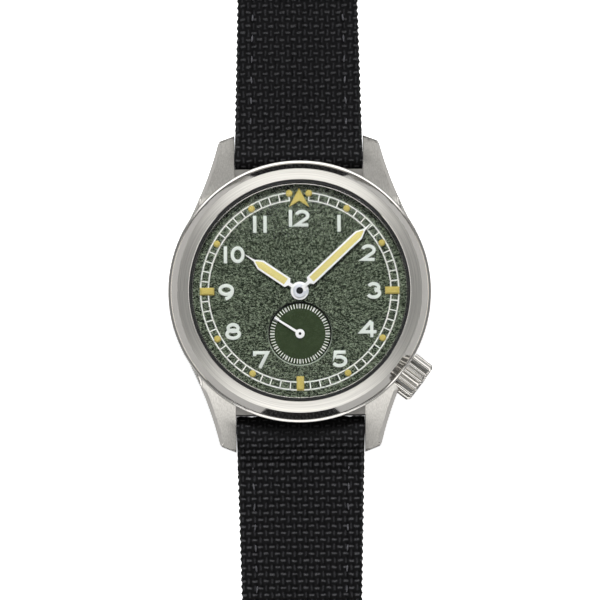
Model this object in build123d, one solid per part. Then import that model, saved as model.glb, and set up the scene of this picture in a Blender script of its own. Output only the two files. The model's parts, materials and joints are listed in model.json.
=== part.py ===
from build123d import *

import math
import os

# A field watch laid open on a table with its dial up: a steel case in three parts (a middle with four swept
# lugs, a pressed bezel and a screwed back), a domed crystal, a grained dial with a sunk seconds dial, an
# automatic movement with its whole going train, and a two-piece fabric strap with a pin buckle.
# Lengths are millimetres and angles are degrees. +Z looks out of the dial, +Y points to 12 o'clock, and
# the origin is the centre of the case back's outer face, which lies on the table.
# Heights along Z end in _z. Positions in plan end in _at. A clock angle runs clockwise from 12 o'clock.

# Clearances that many fits share, and how far cuts run past a face
seat_gap = 0.02
running_gap = 0.05
turning_gap = 0.1
overrun = 1.0

# Widths across the watch, from the movement outwards
holder_wall = 2.4
holder_gap = 0.15
rehaut_lip = 0.6
crystal_seat_width = 0.25
crystal_gasket_wall = 0.25
bezel_face_width = 1.65
bezel_flank_run = 1.0
bezel_margin = 0.35
neck_wall = 0.9

# Heights through the watch, from the case back upwards
back_floor_thickness = 1.2
rotor_floor_gap = 0.63
rotor_rim_height = 1.15
rotor_clearance = 0.12
bridge_thickness = 0.8
train_space = 2.0
main_plate_thickness = 1.2
dial_thickness = 0.4
rehaut_height = 0.95
rim_drop = 0.2
bezel_flank_height = 1.6
bezel_face_height = 0.35

# Case middle
case_bottom_lift = 0.3
case_bottom_inset = 1.15
rim_edge_height = 1.1
flank_bulge = 0.18

# Lugs
lug_gap = 18.2
lug_reach = 3.9
lug_tip_width = 2.25
lug_tip_slope = 0.9
lug_tangent_angle = 33.2
lug_flank_hollow = 0.35
lug_root_inset = 10.5
lug_shoulder_inset = 6.0
lug_root_drop = 0.2
lug_top_bulge = 0.2
lug_tip_z = 3.2
lug_toe_z = 1.1
lug_foot_z = 0.25
lug_foot_inset = 1.9
lug_heel_z = 0.9
lug_heel_inset = 6.4
lug_tip_rounding = 0.8
lug_corner_rounding = 0.8
lug_bevel = 0.5
strap_pocket_depth = 1.2
strap_pocket_roof = 1.1

# Bezel and crystal
bezel_inner_chamfer = 0.12
crystal_edge_height = 0.9
crystal_bevel = 0.18
crystal_rise = 1.45
crystal_hollow = 0.95
crystal_under_rim = 0.6

# Case back, which screws into the case middle
back_face_inset = 3.0
back_plate_inset = 0.75
back_slope_height = 0.8
back_neck_height = 1.2
back_neck_wall = 0.9
back_thread_depth = 0.3
back_notch_count = 6
back_notch_width = 2.4
back_notch_length = 1.4
back_notch_depth = 0.4
back_gasket_width = 0.36
back_gasket_depth = 0.3

# Crown, its tube and the winding stem
crown_angle = -37.5
crown_axis_lift = 0.5
crown_radius = 3.1
crown_length = 3.1
crown_inset = 0.05
crown_flute_count = 16
crown_flute_radius = 0.38
crown_edge_chamfer = 0.4
crown_bore_radius = 1.45
crown_bore_depth = 2.2
crown_recess_gap = 0.3
crown_seal_height = 0.36
crown_seal_depth = 0.3
tube_radius = 1.0
tube_wall = 0.4
tube_end_gap = 0.25
tube_inner_inset = 0.15
stem_radius = 0.45
stem_square = 0.5
stem_inner_inset = 4.3

# Winding pinion and sliding pinion on the stem
winding_pinion_teeth = 14
winding_pinion_module = 0.14
winding_pinion_inset = 2.4
winding_pinion_length = 1.1
sliding_pinion_teeth = 12
sliding_pinion_module = 0.14
sliding_pinion_length = 1.1
sliding_pinion_gap = 0.1
clutch_travel = 0.6
clutch_groove_width = 0.3
clutch_groove_depth = 0.25
stem_window_width = 2.7
stem_window_margin = 0.4

# Movement plates and their screws. The movement is as wide as the barrel needs
skirt_wall = 0.7
barrel_edge_gap = 0.87
balance_edge_gap = 0.26
motion_pocket_depth = 0.58
motion_pocket_margin = 0.3
pillar_radius = 0.9
pillar_inset = 2.6
pillar_clock_angles = (335.0, 96.0, 155.0, 300.0)
cock_pillar_inset = 1.8
cock_pillar_clock_angle = 232.0
cock_arm_width = 2.4
balance_window_gap = 0.55
screw_head_radius = 0.7
screw_head_height = 0.3
screw_shank_radius = 0.4
screw_shank_length = 1.5
screw_slot_width = 0.18
screw_slot_depth = 0.12
clamp_width = 2.4
clamp_thickness = 0.2
clamp_length = 1.9
clamp_count = 3
clamp_clock_angle = 60.0
clamp_screw_radius = 0.5
clamp_screw_height = 0.15
clamp_screw_length = 1.0

# Dial, seconds dial and raised markers
dial_centre_hole = 0.85
seconds_offset = 6.0
seconds_dial_radius = 4.55
seconds_dial_lap = 0.3
seconds_dial_thickness = 0.15
dial_foot_radius = 0.4
dial_foot_length = 0.9
dial_foot_inset = 1.4
dial_foot_clock_angles = (70.0, 250.0)
marker_height = 0.38
baton_width = 1.05
baton_length = 2.0
baton_margin = 1.0
dot_radius = 0.48
dot_margin = 1.62
pair_dot_half_gap = 1.38
pair_dot_margin = 1.25
arrow_margin = 0.5
arrow_length = 2.67
arrow_notch_depth = 0.8
arrow_half_width = 1.45

# Hands. Each is a frame round a filled window, on a hub
hour_hand_angle = 303.92
minute_hand_angle = 47.04
seconds_hand_angle = 302.4
hand_thickness = 0.16
seconds_hand_lift = 0.25
hour_hand_lift = 0.42
hand_spacing = 0.16
hour_hub_radius = 1.28
minute_hub_radius = 0.94
hour_hand_length = 9.1
hour_window_start = 2.05
hour_window_end = 6.6
hour_needle_start = 7.66
hour_hand_width = 1.5
minute_hand_length = 13.7
minute_window_start = 2.03
minute_window_end = 11.4
minute_needle_start = 12.5
minute_hand_width = 1.4
hand_neck_width = 0.5
hand_shoulder_run = 0.3
hand_needle_width = 0.3
hand_tip_width = 0.1
hand_frame_width = 0.27
seconds_hand_length = 4.2
seconds_hand_width = 0.36
seconds_tip_width = 0.28
seconds_hub_radius = 0.65

# Going train. A module sets the tooth size, and the wheels of a pair share one
barrel_teeth = 72
centre_pinion_leaves = 12
centre_teeth = 64
third_pinion_leaves = 8
third_teeth = 60
fourth_pinion_leaves = 8
fourth_teeth = 72
escape_pinion_leaves = 6
escape_teeth = 15
barrel_module = 0.145
centre_module = 0.14
third_module = 0.12
fourth_module = 0.09
barrel_clock_angle = 30.0
escape_direction = 200.0
addendum_share = 0.85
dedendum_share = 1.15
wheel_root_share = 0.6
leaf_root_share = 0.4
leaf_tip_share = 0.2
wheel_thickness = 0.2
wheel_rim_width = 0.5
wheel_hub_radius = 0.8
wheel_spoke_width = 0.45
wheel_spoke_count = 4
pinion_height = 0.4
pinion_overlap = 0.15
arbor_radius = 0.22
pivot_radius = 0.12
pivot_length = 0.3
pivot_gap = 0.03
centre_post_radius = 0.24
seconds_post_radius = 0.14
barrel_lift = 0.4
escape_lift = 0.25
third_lift = 0.8
fourth_lift = 1.25
centre_wheel_gap = 0.08
barrel_flange_thickness = 0.3
barrel_drum_inset = 0.7
barrel_wall = 0.3
barrel_cover_thickness = 0.15
barrel_core_radius = 1.1
barrel_arbor_radius = 0.5
mainspring_turns = 5
mainspring_strip = 0.14
mainspring_gap = 0.08

# Motion work under the dial, which gears the hour hand to the minute hand
cannon_leaves = 12
minute_wheel_teeth = 36
minute_pinion_leaves = 10
hour_wheel_teeth = 40
motion_distance = 2.4
motion_direction = 100.0
motion_wheel_thickness = 0.14
cannon_height = 0.2
cannon_pipe_radius = 0.46
hour_pipe_wall = 0.17

# Escapement and balance
balance_clock_angle = 255.0
balance_radius = 3.55
balance_rim_width = 0.5
balance_thickness = 0.3
balance_lift = 1.3
balance_arm_width = 0.45
balance_hub_radius = 0.7
staff_radius = 0.25
roller_radius = 0.75
roller_thickness = 0.2
roller_lift = 0.75
impulse_pin_radius = 0.1
impulse_pin_inset = 0.15
impulse_pin_length = 0.45
collet_radius = 0.45
hairspring_turns = 4
hairspring_inner_radius = 0.6
hairspring_outer_radius = 2.2
hairspring_strip = 0.09
hairspring_height = 0.12
hairspring_gap = 0.06
hairspring_stud_radius = 0.18
escape_wheel_radius = 2.0
escape_tooth_height = 0.55
escape_tooth_lean = 10.0
escape_rim_width = 0.35
fork_distance = 2.95
fork_thickness = 0.18
fork_arm_width = 0.35
fork_pallet_half_span = 1.25
fork_pallet_clearance = 0.32
fork_pallet_width = 0.32
fork_head_width = 0.8
fork_head_length = 0.55
fork_notch_width = 0.3
fork_end_gap = 0.09

# Rotor and its bearing
rotor_edge_gap = 0.5
rotor_web_thickness = 0.3
rotor_rim_width = 1.9
rotor_hub_radius = 1.9
rotor_post_radius = 0.8
rotor_bolt_radius = 1.2
rotor_bolt_height = 0.22

# Spring bars, one between each pair of lugs
bar_inset = 3.0
bar_z = 2.4
bar_tube_radius = 0.75
bar_tube_wall = 0.25
bar_tip_radius = 0.4
bar_tip_gap = 0.05
bar_tip_reach = 0.8
bar_flange_thickness = 0.4
bar_flange_gap = 0.3
bar_tip_travel = 0.9
bar_shank_length = 2.5
bar_hole_spare = 0.4

# Strap
strap_side_gap = 0.2
strap_end_width = 16.0
strap_taper_length = 37.0
strap_thickness = 2.4
strap_loop_radius = 1.85
strap_ease_length = 6.0
strap_lining_thickness = 0.9
strap_bore_gap = 0.12
short_strap_length = 75.0
long_strap_length = 120.0
strap_tip_height = 4.9
strap_hole_count = 9
strap_hole_start = 24.0
strap_hole_pitch = 6.0
strap_hole_radius = 0.9

# Keepers
keeper_wall = 1.1
keeper_length = 5.0
keeper_side_gap = 0.3
keeper_floor_gap = 0.1
keeper_tail_space = 3.0
keeper_rounding = 1.0
keeper_inner_rounding = 0.5
fixed_keeper_offset = 11.0
free_keeper_offset = 24.0

# Buckle
buckle_pin_radius = 0.6
buckle_loop_radius = 1.5
buckle_arm_width = 2.0
buckle_side_gap = 0.25
buckle_reach = 9.5
buckle_bar_width = 2.3
buckle_thickness = 1.7
buckle_arm_height = 2.2
buckle_corner_radius = 2.6
buckle_inner_rounding = 1.2
tang_width = 1.9
tang_thickness = 0.9
tang_slot_gap = 0.35
tang_slot_length = 5.0
tang_overhang = 0.8
tang_eye_wall = 0.5

# Radii worked out from the widths above
movement_radius = (
    barrel_module * (barrel_teeth + centre_pinion_leaves / 2 + addendum_share) + barrel_edge_gap + skirt_wall
)
holder_inner_radius = movement_radius + running_gap
holder_radius = holder_inner_radius + holder_wall
cavity_radius = holder_radius + holder_gap
dial_radius = cavity_radius - turning_gap
rehaut_radius = cavity_radius - rehaut_lip
crystal_radius = rehaut_radius + crystal_seat_width
bezel_inner_radius = crystal_radius + crystal_gasket_wall
neck_radius = bezel_inner_radius + neck_wall
bezel_top_radius = bezel_inner_radius + bezel_face_width
bezel_base_radius = bezel_top_radius + bezel_flank_run
case_radius = bezel_base_radius + bezel_margin
case_bottom_radius = case_radius - case_bottom_inset
back_plate_radius = case_bottom_radius - back_plate_inset
back_face_radius = back_plate_radius - back_face_inset
back_neck_radius = cavity_radius + back_thread_depth
rotor_radius = movement_radius - rotor_edge_gap

# Heights worked out from the sizes above
case_bottom_z = back_floor_thickness + case_bottom_lift
rotor_z = back_floor_thickness + rotor_floor_gap
rotor_top_z = rotor_z + rotor_rim_height
bridge_z = rotor_top_z + rotor_clearance
bridge_top_z = bridge_z + bridge_thickness
main_plate_z = bridge_top_z + train_space
dial_z = main_plate_z + main_plate_thickness
dial_top_z = dial_z + dial_thickness
rim_z = dial_top_z - rim_drop
rim_edge_z = rim_z - rim_edge_height
neck_z = dial_top_z + rehaut_height
bezel_shoulder_z = rim_z + bezel_flank_height
bezel_crest_z = bezel_shoulder_z + bezel_face_height
crystal_side_z = neck_z + crystal_edge_height
back_neck_z = case_bottom_z + back_neck_height
crown_axis_z = bridge_top_z + crown_axis_lift
barrel_z = bridge_top_z + barrel_lift
escape_wheel_z = bridge_top_z + escape_lift
third_wheel_z = bridge_top_z + third_lift
fourth_wheel_z = bridge_top_z + fourth_lift
centre_wheel_z = main_plate_z - centre_wheel_gap - wheel_thickness
barrel_top_z = centre_wheel_z - centre_wheel_gap
balance_z = bridge_top_z + balance_lift
roller_z = bridge_top_z + roller_lift
hairspring_z = balance_z + balance_thickness + hairspring_gap
motion_floor_z = dial_z - motion_pocket_depth
minute_wheel_z = motion_floor_z + running_gap
hour_wheel_z = minute_wheel_z + cannon_height + running_gap
seconds_dial_top_z = dial_z + seconds_dial_thickness
seconds_hand_z = seconds_dial_top_z + seconds_hand_lift
hour_hand_z = dial_top_z + hour_hand_lift
minute_hand_z = hour_hand_z + hand_thickness + hand_spacing
pipe_top_z = minute_hand_z + hand_thickness

# Places along the strap. The bars lie at plus and minus bar_y
lug_tip_y = case_radius + lug_reach
bar_y = lug_tip_y - bar_inset
strap_width = lug_gap - 2 * strap_side_gap
upper_strap_z = keeper_wall + keeper_floor_gap
buckle_y = bar_y + short_strap_length
buckle_pin_z = upper_strap_z + strap_thickness / 2
keeper_half_width = strap_end_width / 2 + keeper_side_gap
buckle_half_width = strap_end_width / 2 + buckle_side_gap


def pitch_radius(teeth, module):
    """Pitch radius of a wheel or pinion."""
    return teeth * module / 2


def tip_radius(teeth, module):
    """Radius over the teeth of a wheel or pinion."""
    return pitch_radius(teeth, module) + addendum_share * module


def polar(distance, angle):
    """The point in plan at a distance and an angle, anticlockwise from +X."""
    return (distance * math.cos(math.radians(angle)), distance * math.sin(math.radians(angle)))


def clock(distance, angle):
    """The point in plan at a distance and a clock angle, clockwise from 12 o'clock."""
    return polar(distance, 90 - angle)


def shifted(point, offset):
    """A point in plan moved by an offset."""
    return (point[0] + offset[0], point[1] + offset[1])


def direction_between(start, end):
    """Angle of the line from one point in plan to another, anticlockwise from +X."""
    return math.degrees(math.atan2(end[1] - start[1], end[0] - start[0]))


def circles_meet(first, first_radius, second, second_radius):
    """The point in plan at given distances from two centres, on the left of the line between them."""
    span = math.dist(first, second)
    along = (first_radius**2 - second_radius**2 + span**2) / (2 * span)
    across = math.sqrt(first_radius**2 - along**2)
    ahead = ((second[0] - first[0]) / span, (second[1] - first[1]) / span)
    return (
        first[0] + along * ahead[0] - across * ahead[1],
        first[1] + along * ahead[1] + across * ahead[0],
    )


def meshing_phase(teeth, phase, other_teeth, direction):
    """Angle of a tooth on the second wheel, which lies at direction, when the first has one at phase."""
    lead = phase - direction
    return direction + 180 - lead * teeth / other_teeth + 180 / other_teeth


# Places in plan worked out from the tooth counts and modules
centre_at = (0.0, 0.0)
seconds_at = (0.0, -seconds_offset)
barrel_at = clock(pitch_radius(barrel_teeth + centre_pinion_leaves, barrel_module), barrel_clock_angle)
third_at = circles_meet(
    centre_at,
    pitch_radius(centre_teeth + third_pinion_leaves, centre_module),
    seconds_at,
    pitch_radius(third_teeth + fourth_pinion_leaves, third_module),
)
escape_distance = pitch_radius(fourth_teeth + escape_pinion_leaves, fourth_module)
escape_at = shifted(seconds_at, polar(escape_distance, escape_direction))
balance_at = clock(movement_radius - skirt_wall - balance_edge_gap - balance_radius, balance_clock_angle)
fork_direction = direction_between(escape_at, balance_at)
fork_at = shifted(escape_at, polar(fork_distance, fork_direction))
minute_wheel_at = polar(motion_distance, motion_direction)
cannon_module = 2 * motion_distance / (cannon_leaves + minute_wheel_teeth)
hour_module = 2 * motion_distance / (minute_pinion_leaves + hour_wheel_teeth)

# Where a tooth of each wheel stands, so that every pair starts in mesh
centre_phase = 0.0
barrel_phase = meshing_phase(
    centre_pinion_leaves, centre_phase, barrel_teeth, direction_between(centre_at, barrel_at)
)
third_pinion_phase = meshing_phase(
    centre_teeth, centre_phase, third_pinion_leaves, direction_between(centre_at, third_at)
)
fourth_pinion_phase = meshing_phase(
    third_teeth, centre_phase, fourth_pinion_leaves, direction_between(third_at, seconds_at)
)
escape_pinion_phase = meshing_phase(
    fourth_teeth, centre_phase, escape_pinion_leaves, direction_between(seconds_at, escape_at)
)
minute_wheel_phase = meshing_phase(cannon_leaves, centre_phase, minute_wheel_teeth, motion_direction)
hour_wheel_phase = meshing_phase(minute_pinion_leaves, centre_phase, hour_wheel_teeth, motion_direction + 180)


def disc(radius, bottom, top, at=(0.0, 0.0)):
    """An upright round between two heights."""
    return Pos(at[0], at[1], bottom) * extrude(Circle(radius), amount=top - bottom)


def ring(outer, inner, bottom, top, at=(0.0, 0.0)):
    """An upright tube between two heights."""
    return Pos(at[0], at[1], bottom) * extrude(Circle(outer) - Circle(inner), amount=top - bottom)


def slab(low, high):
    """A box given by its lowest and highest corners."""
    size = [high[i] - low[i] for i in range(3)]
    return Pos(*low) * Box(*size, align=(Align.MIN, Align.MIN, Align.MIN))


def turned(outline):
    """The round that a closed outline of radius and height makes about Z."""
    return revolve(Plane.XZ * make_face(outline), Axis.Z)


def bowed(start, end, bulge):
    """An arc between two points that stands out to the left of the line between them by bulge."""
    span = math.dist(start, end)
    left = ((start[1] - end[1]) / span, (end[0] - start[0]) / span)
    middle = ((start[0] + end[0]) / 2 + bulge * left[0], (start[1] + end[1]) / 2 + bulge * left[1])
    return ThreePointArc(start, middle, end)


def ease(start, end):
    """An S of two arcs between two points, level at both ends."""
    middle = ((start[0] + end[0]) / 2, (start[1] + end[1]) / 2)
    lead = 1 if end[0] > start[0] else -1
    first = TangentArc(start, middle, tangent=(lead, 0))
    return first + TangentArc(middle, end, tangent=first % 1)


def capsule(start, end, width):
    """A flat bar with round ends between two points in plan."""
    length = math.dist(start, end)
    bar = Pos(length / 2, 0) * Rectangle(length, width) + Circle(width / 2)
    bar += Pos(length, 0) * Circle(width / 2)
    return Pos(*start) * Rot(0, 0, direction_between(start, end)) * bar


def gear_outline(teeth, module, phase, root_share, tip_share=0.0):
    """Outline of straight-sided teeth as wide at root and tip as their shares of the pitch, or pointed."""
    pitch = 360 / teeth
    root = pitch_radius(teeth, module) - dedendum_share * module
    tip = tip_radius(teeth, module)
    corners = [(root, -root_share), (tip, -tip_share), (tip, tip_share), (root, root_share)]
    if not tip_share:
        corners.pop(1)
    points = [
        polar(radius, phase + (i + share / 2) * pitch) for i in range(teeth) for radius, share in corners
    ]
    return make_face(Polyline(*points, close=True))


def wheel(teeth, module, phase=0.0, hub=wheel_hub_radius, bore=arbor_radius):
    """A flat wheel with pointed teeth, and spokes between its rim and its hub."""
    inner = pitch_radius(teeth, module) - dedendum_share * module - wheel_rim_width
    windows = Circle(inner) - Circle(hub)
    for i in range(wheel_spoke_count // 2):
        windows -= Rot(0, 0, i * 360 / wheel_spoke_count) * Rectangle(3 * inner, wheel_spoke_width)
    return gear_outline(teeth, module, phase, wheel_root_share) - windows - Circle(bore)


def pinion(leaves, module, phase=0.0):
    """A small wheel of a few leaves."""
    return gear_outline(leaves, module, phase, leaf_root_share, leaf_tip_share)


def raised(face, bottom, top, at=(0.0, 0.0)):
    """A flat face made solid between two heights."""
    return Pos(at[0], at[1], bottom) * extrude(face, amount=top - bottom)


def spiral_side(start, growth, halves):
    """Half-turn arcs that run anticlockwise from +X and step outwards by growth."""
    arcs = []
    for i in range(halves):
        facing = 1 if i % 2 == 0 else -1
        first, last = start + i * growth, start + (i + 1) * growth
        crest = ((first - last) / 2 * facing, (first + last) / 2 * facing)
        arcs.append(ThreePointArc((first * facing, 0), crest, (-last * facing, 0)))
    return arcs


def spiral_strip(inner, outer, turns, strip):
    """A flat spiral strip of even pitch between two radii."""
    halves = 2 * turns
    growth = (outer - inner - strip) / halves
    end = inner + halves * growth
    edges = spiral_side(inner, growth, halves) + spiral_side(inner + strip, growth, halves)
    edges += [Line((inner, 0), (inner + strip, 0)), Line((end, 0), (end + strip, 0))]
    return make_face(edges)


# The crown's axis, with local Z pointing out of the case
crown_frame = Plane(
    origin=(0, 0, crown_axis_z), x_dir=(0, 0, 1), z_dir=(*polar(1, crown_angle), 0)
)
crown_start = case_radius - crown_inset
tube_end = crown_start + crown_bore_depth - tube_end_gap
stem_start = movement_radius - stem_inner_inset
winding_pinion_start = movement_radius - winding_pinion_inset
sliding_pinion_start = winding_pinion_start - sliding_pinion_gap - sliding_pinion_length


def along_crown(radius, start, end):
    """A round on the crown's axis between two distances from the watch's centre."""
    return crown_frame * (Pos(0, 0, start) * extrude(Circle(radius), amount=end - start))


def make_lug():
    """The lug at the upper right, with a flank that runs off the case and a top that falls to the tip."""
    inner_x = lug_gap / 2
    root_y = case_radius - lug_root_inset
    on_case = polar(case_radius, lug_tangent_angle)
    tip_outer = (inner_x + lug_tip_width, lug_tip_y - lug_tip_slope)
    plan = make_face(
        Polyline(tip_outer, (inner_x, lug_tip_y), (inner_x, root_y), on_case)
        + bowed(on_case, tip_outer, lug_flank_hollow)
    )
    rounded_plan = fillet(plan.vertices().sort_by_distance(tip_outer)[0], lug_corner_rounding)
    shoulder = (case_radius - lug_shoulder_inset, rim_z - lug_root_drop)
    tip_top = (lug_tip_y, lug_tip_z)
    side = make_face(
        bowed(shoulder, tip_top, lug_top_bulge)
        + Polyline(
            tip_top,
            (lug_tip_y, lug_toe_z),
            (lug_tip_y - lug_foot_inset, lug_foot_z),
            (lug_tip_y - lug_heel_inset, lug_heel_z),
            (root_y, case_bottom_z),
            (root_y, rim_z - lug_root_drop),
            shoulder,
        )
    )
    side = fillet(side.vertices().sort_by(Axis.X)[-2:], lug_tip_rounding)
    lug = extrude(plan, amount=rim_z) & (Plane.YZ * extrude(side, amount=case_radius))
    edge = lug.edges().sort_by(lambda item: item.center().X + item.center().Z)[-1]
    return chamfer(edge, lug_bevel) & extrude(rounded_plan, amount=rim_z)


def make_mid_case():
    """The case middle: its flank, the neck that the bezel grips, the lugs and everything cut into them."""
    flank = bowed((case_bottom_radius, case_bottom_z), (case_radius, rim_edge_z), -flank_bulge)
    body = turned(
        flank
        + Polyline(
            (case_radius, rim_edge_z),
            (case_radius, rim_z),
            (0, rim_z),
            (0, case_bottom_z),
            (case_bottom_radius, case_bottom_z),
        )
    )
    body += disc(neck_radius, rim_z, neck_z)
    lug = make_lug()
    left = mirror(lug, Plane.YZ)
    for part in (lug, left, mirror(lug, Plane.XZ), mirror(left, Plane.XZ)):
        body += part
    pocket_y = case_radius - strap_pocket_depth
    pocket_roof_z = rim_z - strap_pocket_roof
    body += slab((-lug_gap / 2, -pocket_y, case_bottom_z), (lug_gap / 2, pocket_y, pocket_roof_z))
    body -= disc(back_plate_radius + turning_gap, -overrun, case_bottom_z)
    body -= disc(back_neck_radius + seat_gap, -overrun, back_neck_z + seat_gap)
    body -= disc(cavity_radius, -overrun, dial_top_z + seat_gap)
    body -= disc(rehaut_radius, dial_z, neck_z + overrun)
    for side in (1, -1):
        inner, outer = sorted((side * pocket_y, side * (lug_tip_y + overrun)))
        body -= slab((-lug_gap / 2, inner, -overrun), (lug_gap / 2, outer, pocket_roof_z))
        hole_reach = lug_gap / 2 + bar_tip_reach + bar_hole_spare
        body -= across(bar_tip_radius + bar_tip_gap, -hole_reach, hole_reach, side * bar_y, bar_z)
    crown_end = crown_start + crown_length + overrun
    body -= along_crown(crown_radius + crown_recess_gap, crown_start - crown_inset, crown_end)
    body -= along_crown(tube_radius + seat_gap, cavity_radius - overrun, crown_end)
    return body


def make_bezel():
    """The bezel, pressed over the neck, with a polished flank and a wide brushed face."""
    grip = neck_radius + seat_gap
    seat_z = neck_z + seat_gap
    return turned(
        Polyline(
            (grip, rim_z),
            (bezel_base_radius, rim_z),
            (bezel_top_radius, bezel_shoulder_z),
            (bezel_inner_radius + bezel_inner_chamfer, bezel_crest_z),
            (bezel_inner_radius, bezel_crest_z - bezel_inner_chamfer),
            (bezel_inner_radius, seat_z),
            (grip, seat_z),
            close=True,
        )
    )


def make_crystal():
    """The domed crystal, hollow below, on a flat rim."""
    rim_inner = crystal_radius - crystal_under_rim
    edge = (crystal_radius - crystal_bevel, crystal_side_z)
    apex = (0, crystal_side_z + crystal_rise)
    ceiling = (0, neck_z + crystal_hollow)
    return turned(
        Polyline(
            (rim_inner, neck_z),
            (crystal_radius, neck_z),
            (crystal_radius, crystal_side_z - crystal_bevel),
            edge,
        )
        + TangentArc(apex, edge, tangent=(1, 0))
        + Line(apex, ceiling)
        + TangentArc(ceiling, (rim_inner, neck_z), tangent=(1, 0))
    )


def make_crystal_gasket():
    """The ring between crystal and bezel."""
    return ring(bezel_inner_radius, crystal_radius, neck_z, crystal_side_z - crystal_bevel)


def make_case_back():
    """The screwed back: a shallow dish with a threaded neck and notches for its key."""
    neck_inner = back_neck_radius - back_neck_wall
    back = turned(
        Polyline(
            (0, 0),
            (back_face_radius, 0),
            (back_plate_radius, back_slope_height),
            (back_plate_radius, case_bottom_z),
            (back_neck_radius, case_bottom_z),
            (back_neck_radius, back_neck_z),
            (neck_inner, back_neck_z),
            (neck_inner, back_floor_thickness),
            (0, back_floor_thickness),
            close=True,
        )
    )
    back -= gasket_ring(back_gasket_depth + overrun)
    notch = Box(back_notch_length, back_notch_width, 2 * back_notch_depth)
    notch = Pos((back_face_radius + back_plate_radius) / 2, 0, back_slope_height / 2) * notch
    for i in range(back_notch_count):
        back -= Rot(0, 0, i * 360 / back_notch_count) * notch
    return back


def gasket_ring(height):
    """The space of the back's gasket, from the bottom of its groove up by height."""
    middle = (back_neck_radius + back_plate_radius) / 2
    bottom = case_bottom_z - back_gasket_depth
    return ring(middle + back_gasket_width / 2, middle - back_gasket_width / 2, bottom, bottom + height)


def make_crown():
    """The crown: broad round flutes, bevelled ends and a bore over the tube."""
    crown = Plane.XZ * make_face(
        Polyline(
            (crown_bore_radius, 0),
            (crown_radius - crown_edge_chamfer / 2, 0),
            (crown_radius, crown_edge_chamfer / 2),
            (crown_radius, crown_length - crown_edge_chamfer),
            (crown_radius - crown_edge_chamfer, crown_length),
            (0, crown_length),
            (0, crown_bore_depth),
            (crown_bore_radius, crown_bore_depth),
            close=True,
        )
    )
    crown = revolve(crown, Axis.Z)
    for i in range(crown_flute_count):
        flute = Pos(*polar(crown_radius, i * 360 / crown_flute_count)) * Circle(crown_flute_radius)
        crown -= Pos(0, 0, -overrun) * extrude(flute, amount=crown_length + 2 * overrun)
    return crown_frame * (Pos(0, 0, crown_start) * crown)


def make_crown_gasket():
    """The seal in the crown's bore that runs on the tube."""
    start = crown_start + crown_seal_depth
    seal = along_crown(crown_bore_radius, start, start + crown_seal_height)
    return seal - along_crown(tube_radius + running_gap, start - overrun, start + crown_seal_height + overrun)


def make_crown_tube():
    """The tube pressed into the case wall."""
    start = cavity_radius + tube_inner_inset
    tube = along_crown(tube_radius, start, tube_end)
    return tube - along_crown(tube_radius - tube_wall, start - overrun, tube_end + overrun)


def make_winding_stem():
    """The stem: round where it turns in the tube, square where it drives the sliding pinion."""
    square_end = winding_pinion_start - sliding_pinion_gap / 2
    stem = along_crown(stem_radius, square_end, crown_start + crown_bore_depth)
    square = extrude(Rectangle(stem_square, stem_square), amount=square_end - stem_start)
    return stem + crown_frame * (Pos(0, 0, stem_start) * square)


def make_winding_pinion():
    """The pinion that winds, loose on the round of the stem."""
    outline = pinion(winding_pinion_teeth, winding_pinion_module) - Circle(stem_radius + running_gap)
    return crown_frame * (Pos(0, 0, winding_pinion_start) * extrude(outline, amount=winding_pinion_length))


def make_sliding_pinion():
    """The pinion that slides on the square of the stem, with a groove for its yoke."""
    square = stem_square + 2 * running_gap
    outline = pinion(sliding_pinion_teeth, sliding_pinion_module)
    body = extrude(outline, amount=sliding_pinion_length)
    groove_start = (sliding_pinion_length - clutch_groove_width) / 2
    groove_radius = pitch_radius(sliding_pinion_teeth, sliding_pinion_module) - clutch_groove_depth
    body -= ring(crown_radius, groove_radius, groove_start, groove_start + clutch_groove_width)
    hole = extrude(Rectangle(square, square), amount=sliding_pinion_length + 2 * overrun)
    body -= Pos(0, 0, -overrun) * hole
    return crown_frame * (Pos(0, 0, sliding_pinion_start) * body)


def make_dial():
    """The dial, with its feet and the hole and step that hold the seconds dial."""
    dial = disc(dial_radius, dial_z, dial_top_z)
    for angle in dial_foot_clock_angles:
        foot_at = clock(movement_radius - dial_foot_inset, angle)
        dial += disc(dial_foot_radius, dial_z - dial_foot_length, dial_z, foot_at)
    dial -= disc(dial_centre_hole, dial_z - overrun, dial_top_z + overrun)
    dial -= disc(seconds_dial_radius, dial_z - overrun, dial_top_z + overrun, seconds_at)
    step_radius = seconds_dial_radius + seconds_dial_lap + seat_gap
    dial -= disc(step_radius, dial_z - overrun, seconds_dial_top_z, seconds_at)
    return dial


def make_seconds_dial():
    """The sunk seconds dial, set into the dial from below."""
    hole = seconds_post_radius + running_gap
    return ring(seconds_dial_radius + seconds_dial_lap, hole, dial_z, seconds_dial_top_z, seconds_at)


def make_hour_markers():
    """The raised markers: batons at 3, 6 and 9, an arrow and two dots at 12, dots at the other hours."""
    faces = []
    for hour in (3, 6, 9):
        middle = clock(rehaut_radius - baton_margin - baton_length / 2, hour * 30)
        faces.append(Pos(*middle) * Rot(0, 0, -hour * 30) * Rectangle(baton_width, baton_length))
    for hour in (1, 2, 4, 5, 7, 8, 10, 11):
        faces.append(Pos(*clock(rehaut_radius - dot_margin, hour * 30)) * Circle(dot_radius))
    for side in (1, -1):
        faces.append(Pos(side * pair_dot_half_gap, rehaut_radius - pair_dot_margin) * Circle(dot_radius))
    tip_y = rehaut_radius - arrow_margin
    tail_y = tip_y - arrow_length
    feet = ((arrow_half_width, tail_y), (0, tail_y + arrow_notch_depth), (-arrow_half_width, tail_y))
    faces.append(make_face(Polyline((0, tip_y), *feet, close=True)))
    return Compound([raised(face, dial_top_z, dial_top_z + marker_height) for face in faces])


def hand_outline(half_widths, reaches):
    """A hand that points to 12, from half widths at distances from its centre."""
    right = list(zip(half_widths, reaches))
    left = [(-x, y) for x, y in reversed(right)]
    return make_face(Polyline(*right, *left, close=True))


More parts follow.
